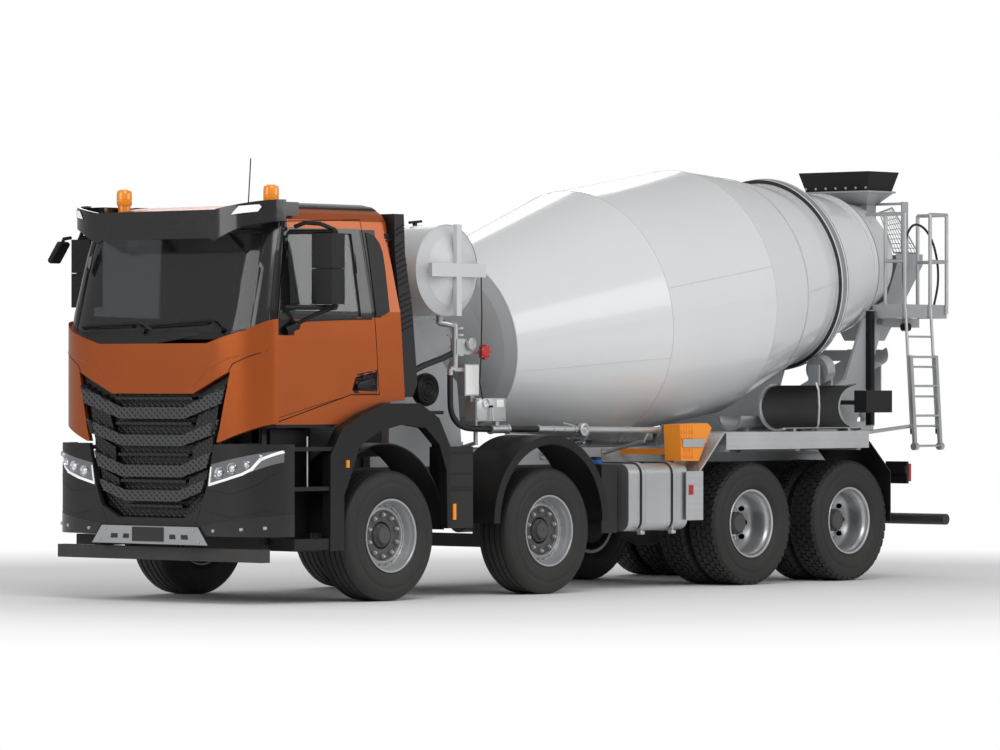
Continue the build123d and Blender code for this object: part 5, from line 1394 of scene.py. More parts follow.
    def kerb_mirror(self) -> None:
        """Makes the kerb mirror on its arm at the right front corner."""
        mesh = bmesh.new()
        root = mm(-1085, -1330, 2935)
        elbow = mm(-1120, -1400, 2880)
        tube(mesh, (root, mm(-1100, -1395, 2925), elbow), 0.014, 12)
        centre = mm(-1160, -1395, 2815)
        turn = Matrix.Translation(centre) @ Matrix.Rotation(math.radians(38.0), 4, "Y")
        made = bmesh.ops.create_cube(mesh, size=1.0, matrix=turn @ Matrix.Diagonal((0.05, 0.13, 0.21, 1.0)))
        rounded(mesh, made["verts"], 0.022, 4)
        self.add(mesh, "kerb_mirror", "black_plastic", slot="black_plastic")

    def mirror_faces(self, name: str, side: float) -> None:
        """Makes a mirror's two glasses, on the rear face of its housings.

        Args:
            name: left or right.
            side: 1 for left, -1 for right.
        """
        low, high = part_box(f"mirror_{name}")
        mesh = bmesh.new()
        outer = max(abs(low.x), abs(high.x)) - 0.022
        inner = outer - 0.17
        for bottom, top in ((2.40, 2.57), (2.60, 2.90)):
            rear = high.y + 0.0015
            block(mesh, (min(side * inner, side * outer), rear - 0.002, bottom),
                  (max(side * inner, side * outer), rear + 0.002, top), 0.0015)
        self.add(mesh, f"mirror_glass_{name}", "mirror_glass", f"door_{name}_body", "cab_glass")


# Nose


@dataclass
class Nose(Dressing):
    """Grille trims, headlamp insides, bumper bands, skid plate and bolts."""

    def build(self) -> None:
        """Makes the nose's trim."""
        self.grille_wings()
        self.headlamps()
        self.bumper()
        self.skid_plate()

    def grille_wings(self) -> None:
        """Makes the smooth side trims of the grille."""
        skin = self.skin("grille")
        mesh = bmesh.new()
        for side in (1.0, -1.0):
            for wing in (
                [(845, 1832), (700, 1764), (462, 1660), (500, 1606), (640, 1668), (815, 1712)],
                [(748, 1470), (690, 1440), (655, 1330), (700, 1300), (735, 1400)],
                [(690, 1180), (640, 1150), (600, 1010), (640, 980), (668, 1080)],
            ):
                skin.lay(mesh, *from_front(wing, side), 0.006)
        self.add(mesh, "grille_wings", "grey_plastic", slot="grey_plastic")

    def headlamps(self) -> None:
        """Makes the light strips and the projectors of both headlamps."""
        skin = self.skin("headlamps", "bumper")
        strips, bowls, lenses = bmesh.new(), bmesh.new(), bmesh.new()
        for side in (1.0, -1.0):
            strip = [(658, 950), (830, 990), (985, 1035), (1060, 1075), (1120, 1150), (1228, 1208)]
            skin.strip(strips, *from_front(strip, side), 0.02, 0.006)
            skin.strip(strips, *from_front([(655, 955), (676, 1085)], side), 0.012, 0.006)
            for x, z, radius in (
                (765, 1042, 46.0), (895, 1078, 46.0), (1015, 1110, 34.0), (1120, 1178, 22.0),
            ):
                met = skin.met_from_front(side * x, z)
                if met is None:
                    continue
                centre = met + Vector((0.0, -0.006, 0.0))
                r = radius / 1000.0
                turned(bowls, [
                    (0.02, r * 0.6), (0.004, r), (-0.004, r), (0.0, r * 0.92), (0.012, r * 0.6),
                ], centre,
                       (0.0, 1.0, 0.0), 28, True)
                ball(lenses, centre + Vector((0.0, 0.006, 0.0)), r * 0.62, (1.0, 0.55, 1.0))
        self.add(strips, "headlamp_strips", "lamp_white", slot="clear_lamp")
        self.add(bowls, "headlamp_bowls", "mirror_glass", slot="clear_lamp")
        self.add(lenses, "headlamp_lenses", "lamp_clear", slot="clear_lamp")

    def bumper(self) -> None:
        """Makes the bumper's dark lower band, its shut lines and bolts."""
        skin = self.skin("bumper")
        band = bmesh.new()
        for side in (1.0, -1.0):
            lower = [(668, 542), (1236, 542), (1236, 690), (1150, 706), (560, 624), (612, 560)]
            skin.lay(band, *from_front(lower, side), 0.004)
            flank = [(-1330, 545), (-1135, 545), (-1135, 720), (-1330, 712)]
            skin.lay(band, *from_side(flank, side), 0.004)
        self.add(band, "bumper_band", "gloss_black", slot="black_plastic")
        lines, bolts = bmesh.new(), bmesh.new()
        for side in (1.0, -1.0):
            for route in (
                [(505, 632), (556, 757), (613, 893)], [(640, 905), (900, 880), (1100, 950), (1230, 1060)],
                [(660, 730), (900, 690), (1225, 760)],
            ):
                skin.strip(lines, *from_front(route, side), 0.006, 0.0012)
            for x, z in ((705, 585), (980, 600), (1150, 612)):
                met = skin.met_from_front(side * x, z)
                if met is not None:
                    rod(
                        bolts, met + Vector((0.0, 0.004, 0.0)), met - Vector((0.0, 0.012, 0.0)), 0.017, 18,
                        0.013,
                    )
        self.add(lines, "bumper_lines", "black_plastic", slot="black_plastic", smooth=60.0)
        self.add(bolts, "bumper_bolts", "bright_steel", slot="galvanised")

    def skid_plate(self) -> None:
        """Makes the silver skid plate with its blank black plate."""
        skin = self.skin("bumper")
        plate_mesh, dark, bolts = bmesh.new(), bmesh.new(), bmesh.new()
        skin.lay(plate_mesh, *from_front([(-545, 612), (545, 612), (655, 470), (-655, 470)]), 0.004)
        self.add(plate_mesh, "skid_plate", "silver_plastic", slot="bare_aluminium")
        skin.lay(dark, *from_front([(-190, 604), (165, 604), (165, 490), (-190, 490)]), 0.01)
        for side in (1.0, -1.0):
            for low, high in ((230, 300), (360, 440)):
                recess = [(low, 512), (high, 512), (high - 8, 548), (low, 548)]
                skin.lay(dark, *from_front(recess, side), 0.006)
            for x, z in ((500, 585), (560, 500)):
                met = skin.met_from_front(side * x, z)
                rod(bolts, met, met - Vector((0.0, 0.014, 0.0)), 0.014, 16, 0.011)
        self.add(dark, "skid_plate_inserts", "gloss_black", slot="black_plastic")
        self.add(bolts, "skid_plate_bolts", "bright_steel", slot="galvanised")


@dataclass
class MirrorArms(Dressing):
    """Arms that loop round the door mirrors, and their feet."""

    def build(self) -> None:
        """Makes both arms, which ride on the doors as the mirrors do."""
        for name, side in SIDES.items():
            self.body = f"door_{name}_body"
            mesh = bmesh.new()
            loop = [
                (1128, -1000, 2990), (1230, -990, 3020), (1350, -940, 3010), (1440, -880, 2965),
                (1462, -850, 2800),
                (1458, -845, 2500), (1420, -860, 2352), (1300, -930, 2300), (1195, -1010, 2235),
                (1160, -1060, 2200),
            ]
            tube(mesh, [mm(side * x, d, z) for x, d, z in loop], 0.017, 14)
            rod(mesh, mm(side * 1158.0, -1135.0, 2165.0), mm(side * 1192.0, -1050.0, 2205.0), 0.04, 20, 0.03)
            ball(mesh, mm(side * 1192.0, -1050.0, 2205.0), 0.034)
            self.add(mesh, f"mirror_arm_{name}", "black_plastic", slot="black_plastic")


@dataclass
class Steps(Dressing):
    """Step treads, the bar beside them and the reflectors along the side."""

    def build(self) -> None:
        """Makes the steps' fittings on both sides."""
        treads, bars = bmesh.new(), bmesh.new()
        for side in (1.0, -1.0):
            for z in (1215.0, 900.0, 430.0):
                for index in range(5):
                    inner, outer = 1100.0 + 28.0 * index, 1119.0 + 28.0 * index
                    low = mm(min(side * inner, side * outer), -1105.0, z + 4.0)
                    high = mm(max(side * inner, side * outer), -700.0, z + 17.0)
                    block(treads, low, high, 0.003)
            rod(bars, mm(side * 1180.0, -915.0, 905.0), mm(side * 1180.0, -915.0, 1330.0), 0.008, 12)
        # Black plates inboard of the steps and along the cab's underside: painted shade that fills gaps where
        # the backdrop would show through.
        backing = bmesh.new()
        for side in (1.0, -1.0):
            inner, outer = sorted((side * 930.0, side * 946.0))
            block(backing, mm(inner, -1190.0, 470.0), mm(outer, -640.0, 1440.0), 0.004)
            inner, outer = sorted((side * 548.0, side * 560.0))
            block(backing, mm(inner, -760.0, 1150.0), mm(outer, 620.0, 1400.0), 0.003)
        self.add(backing, "step_shade_sheets", "black_plastic", slot="black_plastic")
        self.add(treads, "step_treads", "bright_steel", slot="bare_aluminium")
        self.add(bars, "step_bars", "bright_steel", slot="galvanised")
        self.reflectors()

    def reflectors(self) -> None:
        """Makes the amber and red reflectors."""
        amber, red = bmesh.new(), bmesh.new()
        for side in (1.0, -1.0):
            skin = self.skin("mudguards", "side_boxes", "walkways")
            skin.lay(red, *from_side([(3735, 800), (3785, 800), (3785, 880), (3735, 880)], side), 0.008)
            (start,), toward = from_side([(2572, 705)], side)
            met = skin.hit(start, toward)
            if met is not None:
                rod(red, met, met - toward * 0.01, 0.03, 24, 0.027)
            skin.lay(amber, *from_side([(775, 640), (810, 640), (810, 770), (775, 770)], side), 0.01)
            skin.lay(red, *from_side([(6500, 640), (6560, 640), (6560, 720), (6500, 720)], side), 0.008)
        # The amber reflectors share the beacons' faintly glowing finish, a painted glow on parts that are no
        # lamps.
        self.add(amber, "amber_reflectors", "amber_lens", slot="amber_lamp")
        self.add(red, "red_reflectors", "red_lens", slot="amber_lamp")


# Behind the cab


@dataclass
class TankGroup(Dressing):
    """Water tank rings, the intake's louvres, valves, gauges and pipe collars."""

    pipe_x: float = 950.0

    def build(self) -> None:
        """Makes the fittings between the cab and the drum."""
        self.tank_rings()
        self.louvres()
        self.handwheel()
        self.cable()
        self.gauges()
        self.boxes()
        self.pipes()
        self.gearbox()

    def tank_rings(self) -> None:
        """Makes the weld rings of the water tank and its filler lid."""
        mesh = bmesh.new()
        middle = mm(0.0, 1000.0, 2680.0)
        for x in (-0.93, -0.31, 0.31, 0.93):
            turned(mesh, [
                (x - 0.006, 0.374), (x - 0.003, 0.378), (x + 0.003, 0.378), (x + 0.006, 0.374),
            ], middle,
                   (1, 0, 0), 72)
        lid = mm(-380.0, 1000.0, 3052.0)
        turned(mesh, [
            (-0.01, 0.12), (0.03, 0.12), (0.034, 0.135), (0.05, 0.135), (0.056, 0.12), (0.06, 0.0),
        ], lid,
               (0, 0, 1), 36)
        self.add(mesh, "tank_rings", "tank_paint", slot="body_paint")
        lever = bmesh.new()
        block(lever, mm(560.0, 985.0, 3052.0), mm(590.0, 1015.0, 3082.0), 0.004)
        rod(lever, mm(575.0, 930.0, 3078.0), mm(575.0, 1080.0, 3092.0), 0.011, 10)
        self.add(lever, "tank_lever", "black_plastic", slot="black_plastic")

    def louvres(self) -> None:
        """Makes the slanted louvres on the upper part of the intake."""
        low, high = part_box("snorkel")
        skin = self.skin("snorkel")
        mesh = bmesh.new()
        for index in range(19):
            z = 2.2 + 0.045 * index
            stations = [low.y + 0.01 * step for step in range(int((high.y - low.y) / 0.01))]
            found = [skin.hit(Vector((3.0, y, z)), Vector((-1, 0, 0))) for y in stations]
            solid = [spot for spot in found if spot is not None and spot.x > high.x - 0.12]
            if len(solid) < 4:
                continue
            near, far = solid[0], solid[-1]
            rod(mesh, near + Vector((0.0, 0.012, -0.02)), far + Vector((0.0, -0.008, 0.02)), 0.007, 6)
            rod(mesh, far + Vector((-0.004, 0.0, 0.02)), far + Vector((-0.15, 0.0, 0.02)), 0.007, 6)
        self.add(mesh, "intake_louvres", "black_plastic", slot="black_plastic")

    def handwheel(self) -> None:
        """Makes the red lobed handwheel."""
        mesh = bmesh.new()
        centre = mm(1018.0, 1364.0, 2012.0)
        turned(mesh, [
            (-0.022, 0.012), (-0.022, 0.03), (-0.012, 0.048), (0.012, 0.05), (0.024, 0.038), (0.026, 0.0),
        ],
               centre, (1, 0, 0), 32)
        for index in range(8):
            turn = Matrix.Translation(centre) @ Matrix.Rotation(math.radians(45.0 * index), 4, "X")
            rod(mesh, turn @ Vector((-0.016, 0.0, 0.05)), turn @ Vector((0.018, 0.0, 0.05)), 0.014, 12)
        self.add(mesh, "handwheel", "red_paint", slot="soft_rubber")

    def cable(self) -> None:
        """Makes the thin cable from the tank to the box, the valve's hose and the round cover."""
        mesh = bmesh.new()
        line = [
            (1050, 1290, 2640), (1045, 1305, 2300), (1040, 1300, 1960), (1040, 1285, 1760),
            (1040, 1320, 1620),
        ]
        tube(mesh, [mm(*spot) for spot in line], 0.006, 8)
        line = [(760, 360, 1700), (860, 520, 1800), (900, 760, 1900), (905, 980, 1960), (925, 1080, 2000)]
        tube(mesh, [mm(*spot) for spot in line], 0.026, 14)
        line = [(760, 420, 1500), (900, 560, 1512), (905, 980, 1512)]
        tube(mesh, [mm(*spot) for spot in line], 0.014, 10)
        self.add(mesh, "tank_cables", "hose_rubber", slot="soft_rubber")
        disc = bmesh.new()
        turned(disc, [
            (0.0, 0.0), (0.0, 0.13), (-0.03, 0.14), (-0.07, 0.13), (-0.07, 0.0),
        ], mm(800.0, 920.0, 1700.0),
               (1, 0, 0), 40)
        for radius in (0.05, 0.085, 0.115):
            turned(disc, [
                (0.0, radius), (0.006, radius + 0.006), (0.0, radius + 0.012),
            ], mm(800.0, 920.0, 1700.0),
                   (1, 0, 0), 40)
        self.add(disc, "fan_cover", "black_plastic", slot="black_plastic")

    def gauges(self) -> None:
        """Makes the faces, bezels and needles of the gauges."""
        faces, bezels, needles = bmesh.new(), bmesh.new(), bmesh.new()
        for station, z, x, radius in ((1228.0, 2075.0, 1000.0, 0.044), (1395.0, 1585.0, 1004.0, 0.034)):
            centre = mm(x, station, z)
            turned(
                faces, [(0.0, 0.0), (0.0, radius), (-0.02, radius)], centre + Vector((0.006, 0.0, 0.0)),
                (1, 0, 0), 32,
            )
            turned(bezels, [(-0.014, radius), (
                -0.014, radius + 0.006,
            ), (0.012, radius + 0.006), (0.014, radius),
                            (0.008, radius - 0.004), (0.0, radius)], centre, (1, 0, 0), 32, True)
            rod(needles, centre + Vector((0.009, 0.0, -0.004)), centre + Vector(
                (0.009, radius * 0.5, radius * 0.45),
            ),
                0.0018, 6)
            for index in range(9):
                angle = math.radians(-120.0 + 30.0 * index)
                inner = Vector((0.0085, math.sin(angle) * radius * 0.7, math.cos(angle) * radius * 0.7))
                rod(needles, centre + inner, centre + inner * 1.22, 0.0012, 6)
        self.add(faces, "gauge_faces", "white_face", slot="body_paint")
        self.add(bezels, "gauge_bezels", "bright_steel", slot="galvanised")
        self.add(needles, "gauge_needles", "black_plastic", slot="black_plastic")

    def boxes(self) -> None:
        """Makes the lids, screws and blank plates of the control boxes."""
        steel, white, dark = bmesh.new(), bmesh.new(), bmesh.new()
        block(steel, mm(995.0, 1288.0, 1448.0), mm(1008.0, 1642.0, 1622.0), 0.004)
        for station in (1300.0, 1628.0):
            for z in (1460.0, 1610.0):
                rod(steel, mm(1004.0, station, z), mm(1015.0, station, z), 0.008, 6)
        block(white, mm(1006.0, 1530.0, 1555.0), mm(1011.0, 1618.0, 1618.0), 0.002)
        skin = self.skin("water_pipework")
        skin.lay(white, *from_side([(1160, 1660), (1320, 1660), (1320, 1900), (1160, 1900)]), 0.008)
        rod(dark, mm(1008.0, 1445.0, 1560.0), mm(1040.0, 1445.0, 1560.0), 0.009, 12)
        rod(steel, mm(1030.0, 1445.0, 1560.0), mm(1038.0, 1452.0, 1440.0), 0.008, 10)
        self.add(steel, "control_box_lid", "bright_steel", slot="galvanised")
        self.add(white, "control_plates", "white_face", slot="body_paint")
        self.add(dark, "control_spindle", "black_plastic", slot="black_plastic")

    def pipes(self) -> None:
        """Makes the pipe collars, elbow rings, the ball valve and the dark sleeve."""
        collars, sleeve = bmesh.new(), bmesh.new()
        slope = (1350.0 - 1370.0) / 1600.0
        for station, radius, width in (
            (2112.0, 0.034, 24.0), (2300.0, 0.031, 16.0), (2440.0, 0.031, 16.0), (2580.0, 0.034, 20.0),
            (2660.0, 0.05, 46.0), (2742.0, 0.034, 20.0), (3300.0, 0.03, 14.0), (3680.0, 0.03, 14.0),
        ):
            z = 1370.0 + slope * (station - 2100.0)
            rod(
                collars, mm(self.pipe_x, station - width / 2, z), mm(self.pipe_x, station + width / 2, z),
                radius, 28,
            )
        ring_centre = mm(self.pipe_x + 20.0, 2660.0, 1363.0)
        turned(collars, [
            (-0.01, 0.03), (-0.01, 0.056), (0.03, 0.056), (0.034, 0.05), (0.034, 0.034), (0.028, 0.03),
        ],
               ring_centre, (1, 0, 0), 32, True)
        turned(collars, [(0.0, 0.0), (0.02, 0.0), (0.02, 0.018), (0.0, 0.02)], ring_centre, (1, 0, 0), 20)
        rod(collars, mm(self.pipe_x, 2560.0, 1398.0), mm(self.pipe_x + 10.0, 2420.0, 1420.0), 0.007, 8)
        rod(collars, mm(self.pipe_x, 2560.0, 1366.0), mm(self.pipe_x, 2560.0, 1402.0), 0.012, 12)
        rod(sleeve, mm(self.pipe_x, 1742.0, 1372.0), mm(self.pipe_x, 2098.0, 1370.0), 0.027, 24)
        for station in (1520.0, 1725.0):
            rod(
                collars, mm(self.pipe_x, station - 10.0, 1372.0), mm(self.pipe_x, station + 10.0, 1372.0),
                0.042, 28,
            )
        for z in (2205.0, 2150.0, 1985.0):
            rod(collars, mm(self.pipe_x, 1130.0, z - 9.0), mm(self.pipe_x, 1130.0, z + 9.0), 0.04, 24)
        self.add(collars, "pipe_collars", "bright_steel", slot="galvanised")
        self.add(sleeve, "pipe_sleeve", "hose_rubber", slot="soft_rubber")

    def gearbox(self) -> None:
        """Makes the bolts and ribs of the drum's gearbox."""
        mesh = bmesh.new()
        axis = DRUM_AXIS
        side = axis.orthogonal().normalized()
        for station, radius, count in ((-3.235, 0.21, 16), (-3.56, 0.2, 14)):
            start = DRUM_MIDDLE + axis * station
            turned(mesh, [
                (0.0, radius + 0.03), (0.024, radius + 0.055), (0.03, radius + 0.055), (0.034, 0.2),
            ], start,
                   axis, 48)
            for index in range(count):
                turn = Matrix.Rotation(2 * math.pi * index / count, 3, axis)
                spot = start + turn @ (side * (radius + 0.045))
                rod(mesh, spot - axis * 0.014, spot + axis * 0.046, 0.009, 6)
        self.add(mesh, "gearbox_bolts", "bright_steel", slot="frame_paint")


# Drum


@dataclass
class DrumTrim(Dressing):
    """Weld seams, ring edges and the inspection cover of the drum."""

    seams: tuple[Flat, ...] = ((-2.948, 0.745), (-1.307, 1.094), (0.112, 1.106), (0.75, 0.9645))

    def spot(self, station: float, radius: float, degrees: float) -> Vector:
        """A point by its station on the axis, its radius and the angle round from the left."""
        around = Matrix.Rotation(math.radians(degrees), 3, DRUM_AXIS) @ Vector((1.0, 0.0, 0.0))
        return DRUM_MIDDLE + DRUM_AXIS * station + around * radius

    def build(self) -> None:
        """Makes the drum's trim."""
        self.body = "drum_body"
        seams, edges, cover = bmesh.new(), bmesh.new(), bmesh.new()
        for station, radius in self.seams:
            seam = [(-0.006, -0.003), (-0.002, 0.0025), (0.002, 0.0025), (0.006, -0.003)]
            turned(seams, [(station + run, radius + rise) for run, rise in seam], DRUM_MIDDLE, DRUM_AXIS, 96)
        for start, end, turns in (
            ((-2.948, 0.7455), (-1.307, 1.0945), (20.0, 140.0, 262.0)),
            ((-1.307, 1.0945), (0.112, 1.1065), (-12.0, 108.0, 228.0)),
            ((0.112, 1.1065), (0.75, 0.965), (35.0, 155.0, 275.0)),
            ((0.75, 0.965), (1.34, 0.8345), (5.0, 125.0, 245.0)),
        ):
            for degrees in turns:
                rod(seams, self.spot(*start, degrees), self.spot(*end, degrees), 0.0025, 6)
        self.add(seams, "drum_seams", "tank_paint", slot="body_paint")
        for station, low, high in ((1.436, 0.8, 0.8775), (1.338, 0.845, 0.8775), (2.186, 0.628, 0.6548)):
            edge = [(station, low), (station, high), (station + 0.006, high), (station + 0.006, low)]
            turned(edges, edge, DRUM_MIDDLE, DRUM_AXIS, 96, True)
        self.add(edges, "drum_ring_edges", "gloss_black", slot="chassis_paint")
        self.inspection_cover(cover)

    def oval(self, centre: Vector, out: Vector, size: Flat, count: int) -> list[Vector]:
        """Points round an oval that faces the drum.

        Args:
            centre: Its middle.
            out: The way out from the drum there.
            size: Half its length, along the drum's axis, and half its width.
            count: The number of points.

        Returns:
            The points.
        """
        length, width = size
        across = DRUM_AXIS.cross(out).normalized()
        angles = [2 * math.pi * index / count for index in range(count)]
        return [centre + DRUM_AXIS * length * math.cos(a) + across * width * math.sin(a) for a in angles]

    def inspection_cover(self, mesh: Shape) -> None:
        """Makes the oval cover with its bolts on the drum's far side.

        Args:
            mesh: The bmesh that it is made in.
        """
        skin = self.skin("drum")
        centre = self.spot(-0.6, 1.1, 205.0)
        out = (centre - DRUM_MIDDLE - DRUM_AXIS * -0.6).normalized()
        skin.lay(mesh, self.oval(centre + out * 0.5, out, (0.24, 0.17), 28), -out, 0.014, 0.001, 0.05)
        for start in self.oval(centre + out * 0.5, out, (0.215, 0.148), 12):
            met = skin.hit(start, -out)
            if met is not None:
                rod(mesh, met, met + out * 0.028, 0.013, 6)
        self.add(mesh, "drum_cover", "tank_paint", slot="body_paint")


# Sides


@dataclass
class SideGear(Dressing):
    """Fuel tank straps and caps, chocks, chute linings and the column box's bands."""

    def build(self) -> None:
        """Makes the fittings along the sides."""
        self.fuel_tank()
        self.caps()
        self.chocks()
        self.stored_chutes()
        self.column()

    def fuel_tank(self) -> None:
        """Makes the straps with their rubber backing, and their tensioners."""
        skin = self.skin("fuel_tank")
        rubber, steel = bmesh.new(), bmesh.new()
        for station in (3155.0, 3565.0):
            for width, thickness, lift, mesh in (
                (0.074, 0.004, 0.0005, rubber), (0.046, 0.004, 0.005, steel),
            ):
                skin.strip(mesh, *from_side([(station, 540), (station, 1030)]), width, thickness, lift)
                top = [mm(x, station, 3000.0) for x in (680.0, 1180.0)]
                skin.strip(mesh, top, DOWN, width, thickness, lift)
            rod(steel, mm(1205.0, station, 478.0), mm(1205.0, station, 560.0), 0.009, 10)
            block(steel, mm(1180.0, station - 28.0, 470.0), mm(1222.0, station + 28.0, 500.0), 0.004)
        self.add(rubber, "strap_backing", "guard_rubber", slot="soft_rubber")
        self.add(steel, "tank_straps", "bright_steel", slot="galvanised")

    def caps(self) -> None:
        """Makes the blue cap of the small tank and the fuel cap."""
        blue, fuel = bmesh.new(), bmesh.new()
        up = (0, 0, 1)
        centre = mm(1000.0, 2800.0, 1072.0)
        turned(
            blue, [(0.0, 0.03), (0.0, 0.05), (0.03, 0.052), (0.034, 0.036), (0.058, 0.034), (0.06, 0.0)],
            centre, up, 32,
        )
        for index in range(6):
            turn = Matrix.Translation(centre) @ Matrix.Rotation(math.radians(60.0 * index), 4, "Z")
            rod(blue, turn @ Vector((0.0, 0.047, 0.004)), turn @ Vector((0.0, 0.047, 0.036)), 0.011, 10)
        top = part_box("fuel_tank")[1].z
        turned(fuel, [(-0.03, 0.055), (0.004, 0.055), (0.008, 0.06), (0.016, 0.06), (0.018, 0.0)],
               Vector((0.98, at(3360.0), top - 0.012)), up, 32)
        self.add(blue, "blue_cap", "blue_cap", slot="cab_trim")
        self.add(fuel, "fuel_cap", "black_plastic", slot="black_plastic")

    def chocks(self) -> None:
        """Makes the chocks' rib pattern and their holding strap."""
        skin = self.skin("chocks")
        ribs, strap = bmesh.new(), bmesh.new()
        low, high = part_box("chocks")
        start, end = (low.y - FRONT_AXLE_Y) * 1000.0, (high.y - FRONT_AXLE_Y) * 1000.0
        for index in range(5):
            z = low.z * 1000.0 + 40.0 + 52.0 * index
            skin.strip(ribs, *from_side([(start + 15.0, z), (start + 0.42 * (end - start), z)]), 0.012, 0.004)
        for index in range(5):
            station = start + 20.0 + 36.0 * index
            skin.strip(ribs, *from_side([(station, 1110), (station, 1390)]), 0.01, 0.004)
        self.add(ribs, "chock_ribs", "chock_orange", slot="chock_orange")
        band = [(start + 4, 1205), (end - 30, 1205), (end - 30, 1275), (start + 4, 1275)]
        skin.lay(strap, *from_side(band), 0.006, 0.005)
        self.add(strap, "chock_strap", "bright_steel", slot="galvanised")

    def stored_chutes(self) -> None:
        """Makes the dark linings of the spare chutes and their strap."""
        lining, strap = bmesh.new(), bmesh.new()
        centre = Vector((1.046, at(5222.0), 1.545))
        verts = [lining.verts.new(centre + Vector((0.0, run, 0.1905))) for run in (0.0, 1.086)]
        edge = lining.edges.new(verts)
        bmesh.ops.spin(lining, geom=verts + [edge], cent=centre, axis=(0, 1, 0), angle=-math.pi, steps=24)
        bmesh.ops.solidify(lining, geom=lining.faces[:], thickness=0.003)
        self.add(lining, "chute_lining", "hose_rubber", slot="chassis_paint")
        for station in (5214.0, 6316.0):
            turned(strap, [
                (-0.012, 0.196), (-0.012, 0.208), (0.012, 0.208), (0.012, 0.196),
            ], Vector((1.046, at(station), 1.545)),
                   (0, 1, 0), 48, True)
        far = [face for face in strap.faces if face.calc_center_median().x > 1.05]
        bmesh.ops.delete(strap, geom=far, context="FACES")
        route = [
            mm(1046.0, 5745.0, 1760.0), mm(1072.0, 5745.0, 1700.0), mm(1082.0, 5745.0, 1545.0),
            mm(1072.0, 5745.0, 1390.0), mm(1046.0, 5745.0, 1332.0),
        ]
        tube(strap, route, 0.011, 10)
        self.add(strap, "chute_strap", "bright_steel", slot="galvanised")

    def column(self) -> None:
        """Makes the bands of the column box behind the front arch."""
        skin = self.skin("side_boxes")
        mesh = bmesh.new()
        for z in (1185, 1015, 905, 880):
            skin.strip(mesh, *from_side([(722, z), (1018, z)]), 0.01, 0.004)
        self.add(mesh, "column_bands", "black_plastic", slot="black_plastic")


# Rear


@dataclass
class RearEnd(Dressing):
    """Hopper rim and bolts, the post, lamps, mesh guard and ladder grips."""

    def build(self) -> None:
        """Makes the rear's fittings."""
        self.post()
        self.lamps()
        self.hopper()
        self.mesh_guard()
        self.ladder()

    def post(self) -> None:
        """Makes the black sleeve of the platform's post and the lamp under the platform."""
        mesh = bmesh.new()
        block(mesh, mm(515.0, 7148.0, 1372.0), mm(579.0, 7207.0, 2418.0), 0.006)
        rod(mesh, mm(688.0, 7480.0, 2270.0), mm(762.0, 7480.0, 2270.0), 0.037, 24)
        self.add(mesh, "platform_post", "black_plastic", slot="black_plastic")

    def lamps(self) -> None:
        """Makes the red and white parts of the tail lamps."""
        red, white = bmesh.new(), bmesh.new()
        for side in (1.0, -1.0):
            for low, high, mesh in ((985.0, 1070.0, red), (1075.0, 1110.0, white)):
                first, second = sorted((side * low, side * high))
                block(mesh, mm(first, 6944.0, 878.0), mm(second, 6954.0, 1022.0), 0.004)
        self.add(red, "tail_lamp_red", "red_lens", slot="amber_lamp")
        self.add(white, "tail_lamp_white", "lamp_clear", slot="clear_lamp")

    def hopper(self) -> None:
        """Makes the hopper's rolled rim and the bolts of its rubber guard."""
        rim, bolts = bmesh.new(), bmesh.new()
        corners = [mm(x, d, 3520.0) for x, d in ((-384, 7356), (384, 7356), (384, 7764), (-384, 7764))]
        for start, end in zip(corners, corners[1:] + corners[:1]):
            rod(rim, start, end, 0.009, 10)
            ball(rim, start, 0.009)
        low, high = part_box("hopper_guard")
        for index in range(7):
            x = low.x + 0.06 + (high.x - low.x - 0.12) * index / 6
            met = self.skin("hopper_guard").hit(Vector((x, -2.0, low.z + 0.035)), BACKWARD)
            if met is not None:
                rod(bolts, met + Vector((0, 0.004, 0)), met - Vector((0, 0.008, 0)), 0.012, 12)
        self.add(rim, "hopper_rim", "frame_paint", slot="frame_paint")
        self.add(bolts, "hopper_bolts", "bright_steel", slot="galvanised")

    def mesh_guard(self) -> None:
        """Makes the wire guard between the hopper and the funnel."""
        mesh = bmesh.new()
        for side in (1.0, -1.0):
            top, foot = mm(side * 330.0, 7790.0, 3380.0), mm(side * 470.0, 8010.0, 2960.0)
            near_top, near_foot = mm(side * 330.0, 7600.0, 3330.0), mm(side * 480.0, 7620.0, 2960.0)
            for index in range(9):
                share = index / 8
                rod(mesh, near_top.lerp(top, share), near_foot.lerp(foot, share), 0.0035, 6)
            for index in range(10):
                share = index / 9
                rod(mesh, near_top.lerp(near_foot, share), top.lerp(foot, share), 0.0035, 6)
            for start, end in ((top, foot), (near_top, near_foot), (near_top, top), (near_foot, foot)):
                rod(mesh, start, end, 0.008, 8)
        self.add(mesh, "wire_guard", "bright_steel", slot="galvanised")

    def ladder(self) -> None:
        """Makes the black grips at the ladder's feet."""
        mesh = bmesh.new()
        for station in (7220.0, 7600.0):
            rod(mesh, mm(995.0, station, 1300.0), mm(993.0, station, 1340.0), 0.019, 14)
        self.add(mesh, "ladder_grips", "black_plastic", "ladder_lower_body", "black_plastic")


